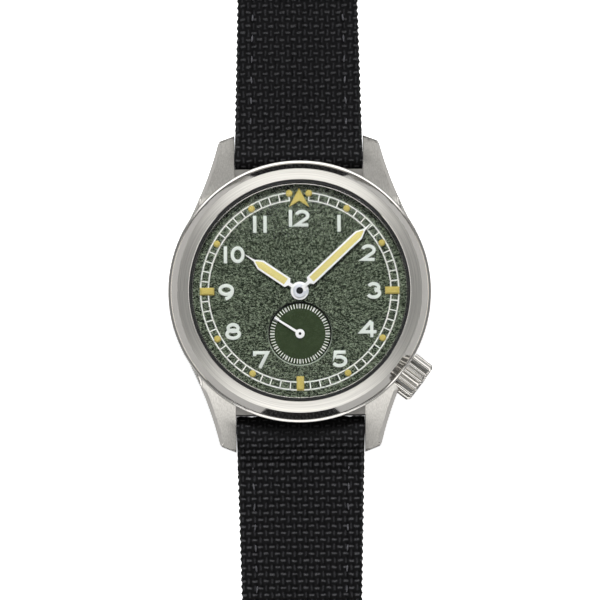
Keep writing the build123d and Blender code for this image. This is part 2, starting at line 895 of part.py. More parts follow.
def hand_faces(width, start, end, needle_start, length):
    """The outline of a framed hand and of its window."""
    neck, needle = hand_neck_width / 2, hand_needle_width / 2
    outline = hand_outline(
        (neck, neck, width / 2, width / 2, needle, hand_tip_width / 2),
        (0, start - hand_shoulder_run, start, end, needle_start, length),
    )
    inner = width / 2 - hand_frame_width
    window = hand_outline(
        (inner, inner, needle / 2), (start + hand_frame_width, end, needle_start - hand_frame_width)
    )
    return outline, window


def make_hour_hand():
    """The hour hand and the filling of its window."""
    outline, window = hand_faces(
        hour_hand_width, hour_window_start, hour_window_end, hour_needle_start, hour_hand_length
    )
    pipe = Circle(hour_pipe_radius)
    return hand_pieces(outline + Circle(hour_hub_radius) - pipe - window, window, hour_hand_z, hour_hand_angle)


def make_minute_hand():
    """The minute hand and the filling of its window."""
    outline, window = hand_faces(
        minute_hand_width, minute_window_start, minute_window_end, minute_needle_start, minute_hand_length
    )
    pipe = Circle(cannon_pipe_radius)
    return hand_pieces(
        outline + Circle(minute_hub_radius) - pipe - window, window, minute_hand_z, minute_hand_angle
    )


def hand_pieces(frame, window, bottom, angle):
    """A hand's frame and filling, turned to a clock angle."""
    turn = Rot(0, 0, -angle)
    top = bottom + hand_thickness
    return turn * raised(frame, bottom, top), turn * raised(window, bottom, top)


def make_seconds_hand():
    """The plain seconds hand on its hub."""
    half, tip = seconds_hand_width / 2, seconds_tip_width / 2
    outline = hand_outline((half, tip), (0, seconds_hand_length)) + Circle(seconds_hub_radius)
    outline -= Circle(seconds_post_radius)
    hand = raised(outline, seconds_hand_z, seconds_hand_z + hand_thickness)
    return Pos(*seconds_at) * Rot(0, 0, -seconds_hand_angle) * hand


hour_pipe_inner = cannon_pipe_radius + running_gap
hour_pipe_radius = hour_pipe_inner + hour_pipe_wall
motion_pocket_radius = motion_distance + tip_radius(minute_wheel_teeth, cannon_module) + motion_pocket_margin
pillars_at = [clock(movement_radius - pillar_inset, angle) for angle in pillar_clock_angles]
cock_pillar_at = clock(movement_radius - cock_pillar_inset, cock_pillar_clock_angle)
pivots_at = (third_at, escape_at, fork_at)


def pivot_hole(at, bottom, top):
    """The hole that one pivot turns in."""
    return disc(pivot_radius + pivot_gap, bottom, top, at)


def make_main_plate():
    """The main plate: a disc with a skirt and pillars for the bridge, sunk for the motion work."""
    plate = disc(movement_radius, main_plate_z, dial_z)
    plate += ring(movement_radius, movement_radius - skirt_wall, bridge_top_z, main_plate_z)
    for at in (*pillars_at, cock_pillar_at):
        plate += disc(pillar_radius, bridge_top_z, main_plate_z, at)
        hole_top = bridge_z + screw_head_height + screw_shank_length + running_gap
        plate -= disc(screw_shank_radius + seat_gap, bridge_top_z - overrun, hole_top, at)
    plate -= disc(motion_pocket_radius, motion_floor_z, dial_z + overrun)
    plate -= disc(centre_post_radius + running_gap, main_plate_z - overrun, dial_z)
    plate -= disc(seconds_post_radius + running_gap, main_plate_z - overrun, dial_z + overrun, seconds_at)
    for at in (*pivots_at, balance_at):
        plate -= pivot_hole(at, main_plate_z - overrun, main_plate_z + pivot_length + pivot_gap)
    plate -= pivot_hole(minute_wheel_at, motion_floor_z - pivot_length - pivot_gap, dial_z)
    barrel_hole = barrel_arbor_radius + running_gap
    plate -= disc(barrel_hole, main_plate_z - overrun, main_plate_z + pivot_length, barrel_at)
    for angle in dial_foot_clock_angles:
        foot_at = clock(movement_radius - dial_foot_inset, angle)
        foot_end_z = dial_z - dial_foot_length - running_gap
        plate -= disc(dial_foot_radius + running_gap, foot_end_z, dial_z + overrun, foot_at)
    plate -= along_crown(tube_radius, movement_radius - pillar_inset, movement_radius + overrun)
    return plate


def cock_outline(gap=0.0):
    """The balance cock in plan, from the staff to its pillar."""
    return capsule(balance_at, cock_pillar_at, cock_arm_width + 2 * gap)


def bridge_screw_sinks():
    """The counterbores and holes of the screws that hold the bridge and the cock."""
    tools = []
    head_hole = screw_head_radius + running_gap
    for at in (*pillars_at, cock_pillar_at):
        tools.append(disc(head_hole, bridge_z - overrun, bridge_z + screw_head_height, at))
        tools.append(disc(screw_shank_radius + seat_gap, bridge_z, bridge_top_z + overrun, at))
    return tools


def make_train_bridge():
    """The bridge over the train, open round the balance and under the stem's pinions."""
    bridge = disc(movement_radius, bridge_z, bridge_top_z)
    bridge -= disc(balance_radius + balance_window_gap, bridge_z - overrun, bridge_top_z + overrun, balance_at)
    bridge -= raised(cock_outline(turning_gap), bridge_z - overrun, bridge_top_z + overrun)
    for tool in bridge_screw_sinks():
        bridge -= tool
    for at in (centre_at, seconds_at, third_at, escape_at, fork_at):
        bridge -= pivot_hole(at, bridge_top_z - pivot_length - pivot_gap, bridge_top_z + overrun)
    bridge -= disc(
        barrel_arbor_radius + running_gap, bridge_top_z - pivot_length, bridge_top_z + overrun, barrel_at
    )
    window_start = sliding_pinion_start - clutch_travel - stem_window_margin
    window_end = winding_pinion_start + winding_pinion_length + stem_window_margin
    window = Box(2 * bridge_thickness + 2 * overrun, stem_window_width, window_end - window_start)
    bridge -= crown_frame * (Pos(bridge_z - crown_axis_z, 0, (window_start + window_end) / 2) * window)
    return bridge


def make_balance_cock():
    """The cock that carries the balance's lower pivot."""
    cock = raised(cock_outline(), bridge_z, bridge_top_z)
    for tool in bridge_screw_sinks():
        cock -= tool
    return cock - pivot_hole(balance_at, bridge_top_z - pivot_length - pivot_gap, bridge_top_z + overrun)


def slotted_screw(head_radius, head_height, shank_radius, shank_length):
    """A screw that stands on its head, with its slot below."""
    screw = disc(head_radius, 0, head_height) + disc(shank_radius, head_height, head_height + shank_length)
    return screw - Box(3 * head_radius, screw_slot_width, 2 * screw_slot_depth)


def make_bridge_screws():
    """The screws that hold the bridge and the cock."""
    screw = slotted_screw(screw_head_radius, screw_head_height, screw_shank_radius, screw_shank_length)
    places = (*pillars_at, cock_pillar_at)
    return Compound([Pos(at[0], at[1], bridge_z) * Rot(0, 0, 10 * i) * screw for i, at in enumerate(places)])


def clamp_places():
    """Clock angles of the clamps that hold the movement in its ring."""
    return [clamp_clock_angle + i * 360 / clamp_count for i in range(clamp_count)]


def clamp_screw_at(angle):
    """Where a clamp's screw stands, in the middle of what it covers of the movement ring."""
    return clock((holder_inner_radius + rotor_radius + turning_gap + clamp_length) / 2, angle)


def make_movement_ring():
    """The ring between movement and case, with the stem's hole and the clamps' screw holes."""
    holder = ring(holder_radius, holder_inner_radius, bridge_z, dial_z)
    holder -= along_crown(tube_radius, movement_radius - overrun, holder_radius + overrun)
    for angle in clamp_places():
        hole_top = bridge_z + clamp_screw_length
        holder -= disc(clamp_screw_radius / 2 + seat_gap, bridge_z - overrun, hole_top, clamp_screw_at(angle))
    return holder


def make_holder_clamps():
    """The clamps across the joint of movement and ring."""
    clamps = []
    inner = rotor_radius + turning_gap
    for angle in clamp_places():
        face = Rot(0, 0, -angle) * (Pos(0, inner + clamp_length / 2) * Rectangle(clamp_width, clamp_length))
        plate = raised(face, bridge_z - clamp_thickness, bridge_z)
        hole_at = clamp_screw_at(angle)
        clamps.append(plate - disc(clamp_screw_radius / 2 + seat_gap, 0, bridge_z + overrun, hole_at))
    return Compound(clamps)


def make_clamp_screws():
    """The clamps' screws."""
    shank_length = clamp_thickness + clamp_screw_length - running_gap
    screw = slotted_screw(clamp_screw_radius, clamp_screw_height, clamp_screw_radius / 2, shank_length)
    head_z = bridge_z - clamp_thickness - clamp_screw_height
    screws = []
    for angle in clamp_places():
        at = clamp_screw_at(angle)
        screws.append(Pos(at[0], at[1], head_z) * Rot(0, 0, -angle) * screw)
    return Compound(screws)


def arbor(at, top=None, post_radius=pivot_radius):
    """An arbor with a pivot in the bridge, and one in the main plate or a post up to top."""
    shaft = disc(arbor_radius, bridge_top_z + running_gap, main_plate_z - running_gap, at)
    shaft += disc(pivot_radius, bridge_top_z - pivot_length, bridge_top_z + running_gap, at)
    post_top = main_plate_z + pivot_length if top is None else top
    return shaft + disc(post_radius, main_plate_z - running_gap, post_top, at)


def train_wheel(teeth, module, bottom, at, phase=0.0):
    """A spoked wheel at its height and place."""
    return raised(wheel(teeth, module, phase), bottom, bottom + wheel_thickness, at)


def train_pinion(leaves, module, driver_z, at, phase):
    """A pinion at the height of the wheel that drives it."""
    bottom = driver_z - pinion_overlap
    return raised(pinion(leaves, module, phase), bottom, bottom + pinion_height, at)


def make_centre_wheel():
    """The centre wheel, its pinion and the post that carries the minute hand."""
    part = arbor(centre_at, pipe_top_z - hand_thickness, centre_post_radius)
    part += train_wheel(centre_teeth, centre_module, centre_wheel_z, centre_at, centre_phase)
    return part + train_pinion(centre_pinion_leaves, barrel_module, barrel_z, centre_at, centre_phase)


def make_third_wheel():
    """The third wheel and its pinion."""
    part = arbor(third_at) + train_wheel(third_teeth, third_module, third_wheel_z, third_at, centre_phase)
    pinion_z = main_plate_z - centre_wheel_gap / 2 - pinion_height
    return part + raised(
        pinion(third_pinion_leaves, centre_module, third_pinion_phase),
        pinion_z,
        pinion_z + pinion_height,
        third_at,
    )


def make_fourth_wheel():
    """The fourth wheel, its pinion and the post that carries the seconds hand."""
    part = arbor(seconds_at, seconds_hand_z + hand_thickness, seconds_post_radius)
    part += train_wheel(fourth_teeth, fourth_module, fourth_wheel_z, seconds_at, centre_phase)
    return part + train_pinion(
        fourth_pinion_leaves, third_module, third_wheel_z, seconds_at, fourth_pinion_phase
    )


def make_escape_wheel():
    """The escape wheel, with fifteen leaning teeth, and its pinion."""
    points = []
    root = escape_wheel_radius - escape_tooth_height
    pitch = 360 / escape_teeth
    for i in range(escape_teeth):
        points.append(polar(root, i * pitch))
        points.append(polar(escape_wheel_radius, i * pitch + escape_tooth_lean))
        points.append(polar(root, i * pitch + pitch / 3))
    face = make_face(Polyline(*points, close=True))
    windows = Circle(root - escape_rim_width) - Rectangle(3 * root, wheel_spoke_width / 2)
    windows -= Rectangle(wheel_spoke_width / 2, 3 * root) + Circle(2 * arbor_radius)
    top = escape_wheel_z + wheel_thickness
    part = arbor(escape_at) + raised(face - windows, escape_wheel_z, top, escape_at)
    return part + train_pinion(
        escape_pinion_leaves, fourth_module, fourth_wheel_z, escape_at, escape_pinion_phase
    )


def make_pallet_fork():
    """The pallet fork, drawn with +X towards the balance, then turned to lie between wheel and balance."""
    pin_reach = roller_radius - impulse_pin_inset + impulse_pin_radius
    reach = math.dist(fork_at, balance_at) - pin_reach - fork_end_gap
    wheel_clear = escape_wheel_radius + fork_pallet_clearance
    pallet_reach = fork_distance - math.sqrt(wheel_clear**2 - fork_pallet_half_span**2)
    lever = Pos(reach / 2, 0) * Rectangle(reach, fork_arm_width)
    head = Pos(reach - fork_head_length / 2, 0) * Rectangle(fork_head_length, fork_head_width)
    notch = Pos(reach, 0) * Rectangle(fork_head_length, fork_notch_width)
    anchor = Rectangle(fork_arm_width, 2 * fork_pallet_half_span + fork_pallet_width)
    pallet = Pos(-pallet_reach / 2, 0) * Rectangle(pallet_reach, fork_pallet_width)
    for side in (1, -1):
        anchor += Pos(0, side * fork_pallet_half_span) * pallet
    face = lever + head - notch + anchor + Circle(2 * arbor_radius)
    blade = raised(Rot(0, 0, fork_direction) * face, escape_wheel_z, escape_wheel_z + fork_thickness, fork_at)
    return blade + arbor(fork_at)


def make_balance_wheel():
    """The balance: a rim on two arms."""
    rim_inner = balance_radius - balance_rim_width
    face = Circle(balance_radius) - Circle(rim_inner)
    face += Rectangle(2 * rim_inner + balance_rim_width, balance_arm_width) + Circle(balance_hub_radius)
    return raised(face - Circle(staff_radius), balance_z, balance_z + balance_thickness, balance_at)


def make_balance_staff():
    """The balance staff with its roller, impulse pin and the hairspring's collet."""
    staff = disc(staff_radius, bridge_top_z + running_gap, main_plate_z - running_gap, balance_at)
    staff += disc(pivot_radius, bridge_top_z - pivot_length, main_plate_z + pivot_length, balance_at)
    staff += disc(roller_radius, roller_z, roller_z + roller_thickness, balance_at)
    staff += disc(collet_radius, hairspring_z, hairspring_z + hairspring_height, balance_at)
    pin_offset = polar(roller_radius - impulse_pin_inset, fork_direction + 180)
    pin_at = shifted(balance_at, pin_offset)
    return staff + disc(impulse_pin_radius, roller_z - impulse_pin_length, roller_z, pin_at)


def make_hairspring():
    """The hairspring round the collet, with the stud that holds its outer end."""
    strip = spiral_strip(hairspring_inner_radius, hairspring_outer_radius, hairspring_turns, hairspring_strip)
    spring = raised(strip, hairspring_z, hairspring_z + hairspring_height, balance_at)
    stud_at = shifted(balance_at, (hairspring_outer_radius - hairspring_strip / 2, 0))
    return spring + disc(hairspring_stud_radius, hairspring_z, main_plate_z, stud_at)


drum_radius = pitch_radius(barrel_teeth, barrel_module) - barrel_drum_inset
drum_inner_radius = drum_radius - barrel_wall
drum_cover_z = barrel_top_z - barrel_cover_thickness


def make_barrel():
    """The toothed barrel, open above for its cover."""
    flange = gear_outline(barrel_teeth, barrel_module, barrel_phase, wheel_root_share)
    flange -= Circle(barrel_arbor_radius + running_gap)
    drum = raised(flange, barrel_z, barrel_z + barrel_flange_thickness, barrel_at)
    return drum + ring(drum_radius, drum_inner_radius, barrel_z, drum_cover_z, barrel_at)


def make_barrel_cover():
    """The barrel's snapped-on cover."""
    return ring(drum_radius, barrel_arbor_radius + running_gap, drum_cover_z, barrel_top_z, barrel_at)


def make_barrel_arbor():
    """The barrel arbor, with the core that holds the mainspring's inner end."""
    inner_z = barrel_z + barrel_flange_thickness
    part = disc(barrel_arbor_radius, bridge_top_z - pivot_length, main_plate_z + pivot_length, barrel_at)
    return part + disc(barrel_core_radius, inner_z + running_gap, drum_cover_z - running_gap, barrel_at)


def make_mainspring():
    """The wound mainspring between the arbor's core and the drum's wall."""
    inner_z = barrel_z + barrel_flange_thickness + mainspring_gap
    outer = drum_inner_radius - mainspring_gap
    strip = spiral_strip(barrel_core_radius + seat_gap, outer, mainspring_turns, mainspring_strip)
    return raised(strip, inner_z, drum_cover_z - mainspring_gap, barrel_at)


def make_cannon_pinion():
    """The cannon pinion, which carries the minute hand on its pipe."""
    leaves = raised(
        pinion(cannon_leaves, cannon_module, centre_phase), minute_wheel_z, minute_wheel_z + cannon_height
    )
    pipe = disc(cannon_pipe_radius, minute_wheel_z, pipe_top_z)
    return leaves + pipe - disc(centre_post_radius + seat_gap, motion_floor_z, pipe_top_z + overrun)


def make_minute_wheel():
    """The minute wheel and its pinion, on a pivot in the main plate."""
    face = wheel(minute_wheel_teeth, cannon_module, minute_wheel_phase, hub=2 * arbor_radius)
    pinion_top = hour_wheel_z + motion_wheel_thickness
    part = raised(face, minute_wheel_z, minute_wheel_z + motion_wheel_thickness, minute_wheel_at)
    part += raised(
        pinion(minute_pinion_leaves, hour_module, centre_phase), minute_wheel_z, pinion_top, minute_wheel_at
    )
    return part + disc(pivot_radius, motion_floor_z - pivot_length, minute_wheel_z, minute_wheel_at)


def make_hour_wheel():
    """The hour wheel, whose pipe carries the hour hand."""
    hub = hour_pipe_radius + arbor_radius
    face = wheel(hour_wheel_teeth, hour_module, hour_wheel_phase, hub=hub, bore=hour_pipe_inner)
    part = raised(face, hour_wheel_z, hour_wheel_z + motion_wheel_thickness)
    return part + ring(hour_pipe_radius, hour_pipe_inner, hour_wheel_z, hour_hand_z + hand_thickness)


def make_rotor():
    """The half-round rotor: a thin web with a heavy rim."""
    lower_half = Pos(0, -rotor_radius) * Rectangle(2 * rotor_radius, 2 * rotor_radius)
    web = Circle(rotor_radius) & lower_half
    rim = (Circle(rotor_radius) - Circle(rotor_radius - rotor_rim_width)) & lower_half
    rotor = raised(web + Circle(rotor_hub_radius), rotor_top_z - rotor_web_thickness, rotor_top_z)
    rotor += raised(rim, rotor_z, rotor_top_z)
    return rotor - disc(rotor_post_radius + running_gap, rotor_z - overrun, rotor_top_z + overrun)


def make_rotor_bearing():
    """The post and bolt head that the rotor turns on."""
    head_top = rotor_top_z - rotor_web_thickness - running_gap
    post = disc(rotor_post_radius, head_top, bridge_z)
    return post + disc(rotor_bolt_radius, head_top - rotor_bolt_height, head_top)


def across(radius, start, end, y, z):
    """A round along X between two places."""
    return Pos(start, y, z) * Rot(0, 90, 0) * extrude(Circle(radius), amount=end - start)


flange_end = lug_gap / 2 - bar_flange_gap
flange_start = flange_end - bar_flange_thickness
bar_tube_half_length = flange_start - bar_tip_travel - running_gap


def make_bar_tubes():
    """The tubes of both spring bars."""
    tubes = []
    for y in (bar_y, -bar_y):
        tube = across(bar_tube_radius, -bar_tube_half_length, bar_tube_half_length, y, bar_z)
        bore = bar_tube_half_length + overrun
        tubes.append(tube - across(bar_tube_radius - bar_tube_wall, -bore, bore, y, bar_z))
    return Compound(tubes)


def make_bar_tip(side, y):
    """One sprung tip of a spring bar: a shank in the tube, a flange and a point in the lug."""
    shank_radius = bar_tube_radius - bar_tube_wall - running_gap
    shank_start = flange_start - bar_shank_length
    tip = across(shank_radius, shank_start, flange_start, y, bar_z)
    tip += across(bar_tube_radius, flange_start, flange_end, y, bar_z)
    tip += across(bar_tip_radius, flange_end, lug_gap / 2 + bar_tip_reach, y, bar_z)
    return tip if side > 0 else mirror(tip, Plane.YZ)


def strap_plan(length, tip_height):
    """A strap half in plan, pointing to +Y: tapered, then even, with a round end if it has a tip height."""
    start = bar_y - strap_loop_radius - overrun
    half, end_half = strap_width / 2, strap_end_width / 2
    taper_y = bar_y + strap_taper_length
    end = bar_y + length
    side = ((half, start), (half, bar_y), (end_half, taper_y), (end_half, end - tip_height))
    right = Polyline(*side)
    left = Polyline(*[(-x, y) for x, y in side])
    foot = Line((-half, start), (half, start))
    if tip_height:
        top = ThreePointArc((end_half, end - tip_height), (0, end), (-end_half, end - tip_height))
    else:
        top = Line((end_half, end), (-end_half, end))
    return make_face(right + top + left + foot)


def loop_arc(middle, radius, outward):
    """The half round of a strap's loop, from its top to its bottom."""
    y, z = middle
    return ThreePointArc((y, z + radius), (y + outward * radius, z), (y, z - radius))


def in_plan(profile, plan):
    """A side profile made as wide as a plan."""
    width = strap_width + 2 * overrun
    solid = Plane.YZ * (Pos(0, 0, -width / 2) * extrude(profile, amount=width))
    return solid & (Pos(0, 0, -overrun) * extrude(plan, amount=bar_y))


def strap_holes(length):
    """The buckle holes of the long strap."""
    holes = []
    for i in range(strap_hole_count):
        at = (0, bar_y + length - strap_hole_start - i * strap_hole_pitch)
        holes.append(disc(strap_hole_radius, -overrun, strap_thickness + overrun, at))
    return holes


def lining_start():
    """Where the lining begins, past the eased part by the bar."""
    return bar_y + strap_ease_length


def make_long_strap():
    """The long strap half, cover and lining, on the table: made towards +Y, then turned to 6 o'clock."""
    end = bar_y + long_strap_length + overrun
    start = lining_start()
    split = strap_lining_thickness
    profile = make_face(
        loop_arc((bar_y, bar_z), strap_loop_radius, -1)
        + ease((bar_y, bar_z - strap_loop_radius), (start, 0))
        + Polyline((start, 0), (start, split), (end, split), (end, strap_thickness), (start, strap_thickness))
        + ease((start, strap_thickness), (bar_y, bar_z + strap_loop_radius))
    )
    under = make_face(Polyline((start, 0), (end, 0), (end, split), (start, split), close=True))
    plan = strap_plan(long_strap_length, strap_tip_height)
    cover = in_plan(profile, plan) - bar_bore()
    lining = in_plan(under, plan)
    for hole in strap_holes(long_strap_length):
        cover -= hole
        lining -= hole
    return Rot(0, 0, 180) * cover, Rot(0, 0, 180) * lining


def bar_bore():
    """The bore in a strap's loop for the spring bar."""
    half = strap_width / 2 + overrun
    return across(bar_tube_radius + strap_bore_gap, -half, half, bar_y, bar_z)


def make_short_strap():
    """The short strap half, cover and lining, which lies on its keepers and ends in a loop round the pin."""
    start, end = lining_start(), buckle_y - strap_ease_length
    bottom, top = upper_strap_z, upper_strap_z + strap_thickness
    split = bottom + strap_lining_thickness
    profile = make_face(
        loop_arc((bar_y, bar_z), strap_loop_radius, -1)
        + ease((bar_y, bar_z - strap_loop_radius), (start, bottom))
        + Polyline((start, bottom), (start, split), (end, split), (end, bottom))
        + ease((end, bottom), (buckle_y, buckle_pin_z - buckle_loop_radius))
        + loop_arc((buckle_y, buckle_pin_z), buckle_loop_radius, 1)
        + ease((buckle_y, buckle_pin_z + buckle_loop_radius), (end, top))
        + Line((end, top), (start, top))
        + ease((start, top), (bar_y, bar_z + strap_loop_radius))
    )
    under = make_face(Polyline((start, bottom), (end, bottom), (end, split), (start, split), close=True))
    plan = strap_plan(short_strap_length + buckle_loop_radius + overrun, 0)
    cover = in_plan(profile, plan) - bar_bore()
    half = strap_end_width / 2 + overrun
    cover -= across(buckle_pin_radius + strap_bore_gap, -half, half, buckle_y, buckle_pin_z)
    slot_half = tang_width / 2 + tang_slot_gap
    slot_start = buckle_y - tang_slot_length
    slot = slab((-slot_half, slot_start, -overrun), (slot_half, buckle_y + bar_y, bar_y))
    return cover - slot, in_plan(under, plan)


def make_keeper(offset):
    """A keeper loop round the short strap, with room above it for the long strap's tail."""
    inner_height = keeper_floor_gap + strap_thickness + keeper_tail_space
    inner_width = 2 * keeper_half_width
    outer = RectangleRounded(inner_width + 2 * keeper_wall, inner_height + 2 * keeper_wall, keeper_rounding)
    face = outer - RectangleRounded(inner_width, inner_height, keeper_inner_rounding)
    middle_z = keeper_wall + inner_height / 2
    middle_y = buckle_y - offset
    return Pos(0, middle_y + keeper_length / 2, middle_z) * Rot(90, 0, 0) * extrude(face, amount=keeper_length)


def make_buckle_frame():
    """The buckle frame: two arms from the pin down to a front bar that lies on the table."""
    outer_half = buckle_half_width + buckle_arm_width
    bar_start = buckle_y + buckle_reach - buckle_bar_width / 2
    bar_end = bar_start + buckle_bar_width
    back_y = buckle_y - buckle_loop_radius
    plan = Pos(0, (back_y + bar_end) / 2) * Rectangle(2 * outer_half, bar_end - back_y)
    plan = fillet(plan.vertices().sort_by(Axis.Y)[-2:], buckle_corner_radius)
    opening = Pos(0, (back_y - overrun + bar_start) / 2) * Rectangle(
        2 * buckle_half_width, bar_start - back_y + overrun
    )
    opening = fillet(opening.vertices().sort_by(Axis.Y)[-2:], buckle_inner_rounding)
    eye_top = (buckle_y, buckle_pin_z + buckle_arm_height / 2)
    eye_bottom = (buckle_y, buckle_pin_z - buckle_arm_height / 2)
    side = make_face(
        ThreePointArc(eye_top, (buckle_y - buckle_arm_height / 2, buckle_pin_z), eye_bottom)
        + ease(eye_bottom, (bar_start, 0))
        + Polyline((bar_start, 0), (bar_end, 0), (bar_end, buckle_thickness), (bar_start, buckle_thickness))
        + ease((bar_start, buckle_thickness), eye_top)
    )
    width = 2 * outer_half
    frame = Plane.YZ * (Pos(0, 0, -outer_half) * extrude(side, amount=width))
    frame &= Pos(0, 0, -overrun) * extrude(plan - opening, amount=bar_y)
    return frame - across(buckle_pin_radius + seat_gap, -width, width, buckle_y, buckle_pin_z)


def make_buckle_pin():
    """The pin through the arms and the strap's loop."""
    half = buckle_half_width + buckle_arm_width
    return across(buckle_pin_radius, -half, half, buckle_y, buckle_pin_z)


def make_buckle_tang():
    """The tang: an eye on the pin and a flat tongue that rests on the front bar."""
    eye = buckle_pin_radius + running_gap + tang_eye_wall
    end_y = buckle_y + buckle_reach + buckle_bar_width / 2 + tang_overhang
    rest_z = buckle_thickness + running_gap
    start_z = buckle_pin_z - tang_thickness / 2
    tongue = make_face(
        Polyline(
            (buckle_y, start_z),
            (end_y, rest_z),
            (end_y, rest_z + tang_thickness / 2),
            (end_y - tang_overhang, rest_z + tang_thickness),
            (buckle_y, start_z + tang_thickness),
            close=True,
        )
    )
    side = tongue + Pos(buckle_y, buckle_pin_z) * Circle(eye)
    side -= Pos(buckle_y, buckle_pin_z) * Circle(buckle_pin_radius + running_gap)
    return Plane.YZ * (Pos(0, 0, -tang_width / 2) * extrude(side, amount=tang_width))


def build_watch():
    """Every piece of the watch by its node's name."""
    hour_hand, hour_lume = make_hour_hand()
    minute_hand, minute_lume = make_minute_hand()
    long_cover, long_lining = make_long_strap()
    short_cover, short_lining = make_short_strap()
    pieces = {
        "mid_case": make_mid_case(),
        "bezel": make_bezel(),
        "crystal": make_crystal(),
        "crystal_gasket": make_crystal_gasket(),
        "case_back": make_case_back(),
        "case_back_gasket": gasket_ring(back_gasket_depth),
        "crown": make_crown(),
        "crown_gasket": make_crown_gasket(),
        "crown_tube": make_crown_tube(),
        "winding_stem": make_winding_stem(),
        "winding_pinion": make_winding_pinion(),
        "sliding_pinion": make_sliding_pinion(),
        "dial": make_dial(),
        "seconds_dial": make_seconds_dial(),
        "hour_markers": make_hour_markers(),
        "hour_hand": hour_hand,
        "hour_hand_lume": hour_lume,
        "minute_hand": minute_hand,
        "minute_hand_lume": minute_lume,
        "seconds_hand": make_seconds_hand(),
        "main_plate": make_main_plate(),
        "train_bridge": make_train_bridge(),
        "balance_cock": make_balance_cock(),
        "bridge_screws": make_bridge_screws(),
        "movement_ring": make_movement_ring(),
        "holder_clamps": make_holder_clamps(),
        "clamp_screws": make_clamp_screws(),
        "centre_wheel": make_centre_wheel(),
        "third_wheel": make_third_wheel(),
        "fourth_wheel": make_fourth_wheel(),
        "escape_wheel": make_escape_wheel(),
        "pallet_fork": make_pallet_fork(),
        "balance_wheel": make_balance_wheel(),
        "balance_staff": make_balance_staff(),
        "hairspring": make_hairspring(),
        "mainspring_barrel": make_barrel(),
        "barrel_cover": make_barrel_cover(),
        "barrel_arbor": make_barrel_arbor(),
        "mainspring": make_mainspring(),
        "cannon_pinion": make_cannon_pinion(),
        "minute_wheel": make_minute_wheel(),
        "hour_wheel": make_hour_wheel(),
        "rotor": make_rotor(),
        "rotor_bearing": make_rotor_bearing(),
        "spring_bar_tubes": make_bar_tubes(),
        "bar_tip_12_right": make_bar_tip(1, bar_y),
        "bar_tip_12_left": make_bar_tip(-1, bar_y),
        "bar_tip_6_right": make_bar_tip(1, -bar_y),
        "bar_tip_6_left": make_bar_tip(-1, -bar_y),
        "short_strap_cover": short_cover,
        "short_strap_lining": short_lining,
        "long_strap_cover": long_cover,
        "long_strap_lining": long_lining,
        "fixed_keeper": make_keeper(fixed_keeper_offset),
        "free_keeper": make_keeper(free_keeper_offset),
        "buckle_frame": make_buckle_frame(),
        "buckle_pin": make_buckle_pin(),
        "buckle_tang": make_buckle_tang(),
    }
    return pieces


os.makedirs("parts", exist_ok=True)
for name, piece in build_watch().items():
    export_step(piece, f"parts/{name}.step")
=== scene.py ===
"""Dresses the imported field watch: camera, light, finishes and the pieces that its plain solids leave out."""

import json
import logging
import math
from contextlib import contextmanager
from dataclasses import dataclass, field
from enum import Enum
from functools import partial
from typing import Any, Callable, Iterable, Iterator, Sequence

import bmesh
import bpy
from mathutils import Matrix, Vector, noise
from mathutils.geometry import delaunay_2d_cdt

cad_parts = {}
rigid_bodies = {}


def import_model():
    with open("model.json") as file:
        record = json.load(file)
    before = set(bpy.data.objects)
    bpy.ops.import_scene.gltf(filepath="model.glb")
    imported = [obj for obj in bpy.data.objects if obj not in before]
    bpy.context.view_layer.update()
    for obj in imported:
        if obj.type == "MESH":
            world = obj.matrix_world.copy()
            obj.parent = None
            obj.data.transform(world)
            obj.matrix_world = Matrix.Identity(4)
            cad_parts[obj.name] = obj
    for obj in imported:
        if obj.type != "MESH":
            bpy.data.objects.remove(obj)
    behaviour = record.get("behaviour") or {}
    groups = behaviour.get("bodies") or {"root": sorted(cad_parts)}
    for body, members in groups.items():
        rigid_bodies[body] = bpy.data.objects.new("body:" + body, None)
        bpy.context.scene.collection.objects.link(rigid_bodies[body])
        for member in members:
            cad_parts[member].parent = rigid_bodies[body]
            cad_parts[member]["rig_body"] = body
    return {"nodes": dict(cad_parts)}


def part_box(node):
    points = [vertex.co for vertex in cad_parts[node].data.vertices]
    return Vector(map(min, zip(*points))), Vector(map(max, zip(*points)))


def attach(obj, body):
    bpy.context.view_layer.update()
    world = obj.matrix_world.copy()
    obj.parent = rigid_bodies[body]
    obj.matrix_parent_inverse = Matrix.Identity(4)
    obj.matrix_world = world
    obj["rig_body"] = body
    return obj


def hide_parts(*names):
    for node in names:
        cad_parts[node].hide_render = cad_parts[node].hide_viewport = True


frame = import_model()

MM = 0.001
CLOTH_MAP = "cloth"
NODES = frame["nodes"]
LOG = logging.getLogger("watch")
LEVEL_ANGLE = math.radians(0.6)
BEVEL_SEGMENTS = 2
SUNK = 0.01 * MM
WOVEN_ANGLE = 75.0

Point = tuple[float, float]
Spot = tuple[float, float, float]
Mesh = bpy.types.Mesh
Piece = bpy.types.Object
Tree = bpy.types.NodeTree
Shader = bpy.types.Node
Socket = bpy.types.NodeSocket


class Axis(Enum):
    """The way that brushing runs over a surface."""

    ALONG_X = "x"
    ALONG_Y = "y"
    ROUND = "round"


# Small tools


def linear(colour: str) -> tuple[float, float, float, float]:
    """Turns an sRGB hex colour into the linear one that a shader takes.

    Args:
        colour: Six hex digits with a hash in front.

    Returns:
        Red, green, blue and a full alpha.
    """
    parts = [int(colour[i : i + 2], 16) / 255 for i in (1, 3, 5)]
    return (*[c / 12.92 if c <= 0.04045 else ((c + 0.055) / 1.055) ** 2.4 for c in parts], 1.0)


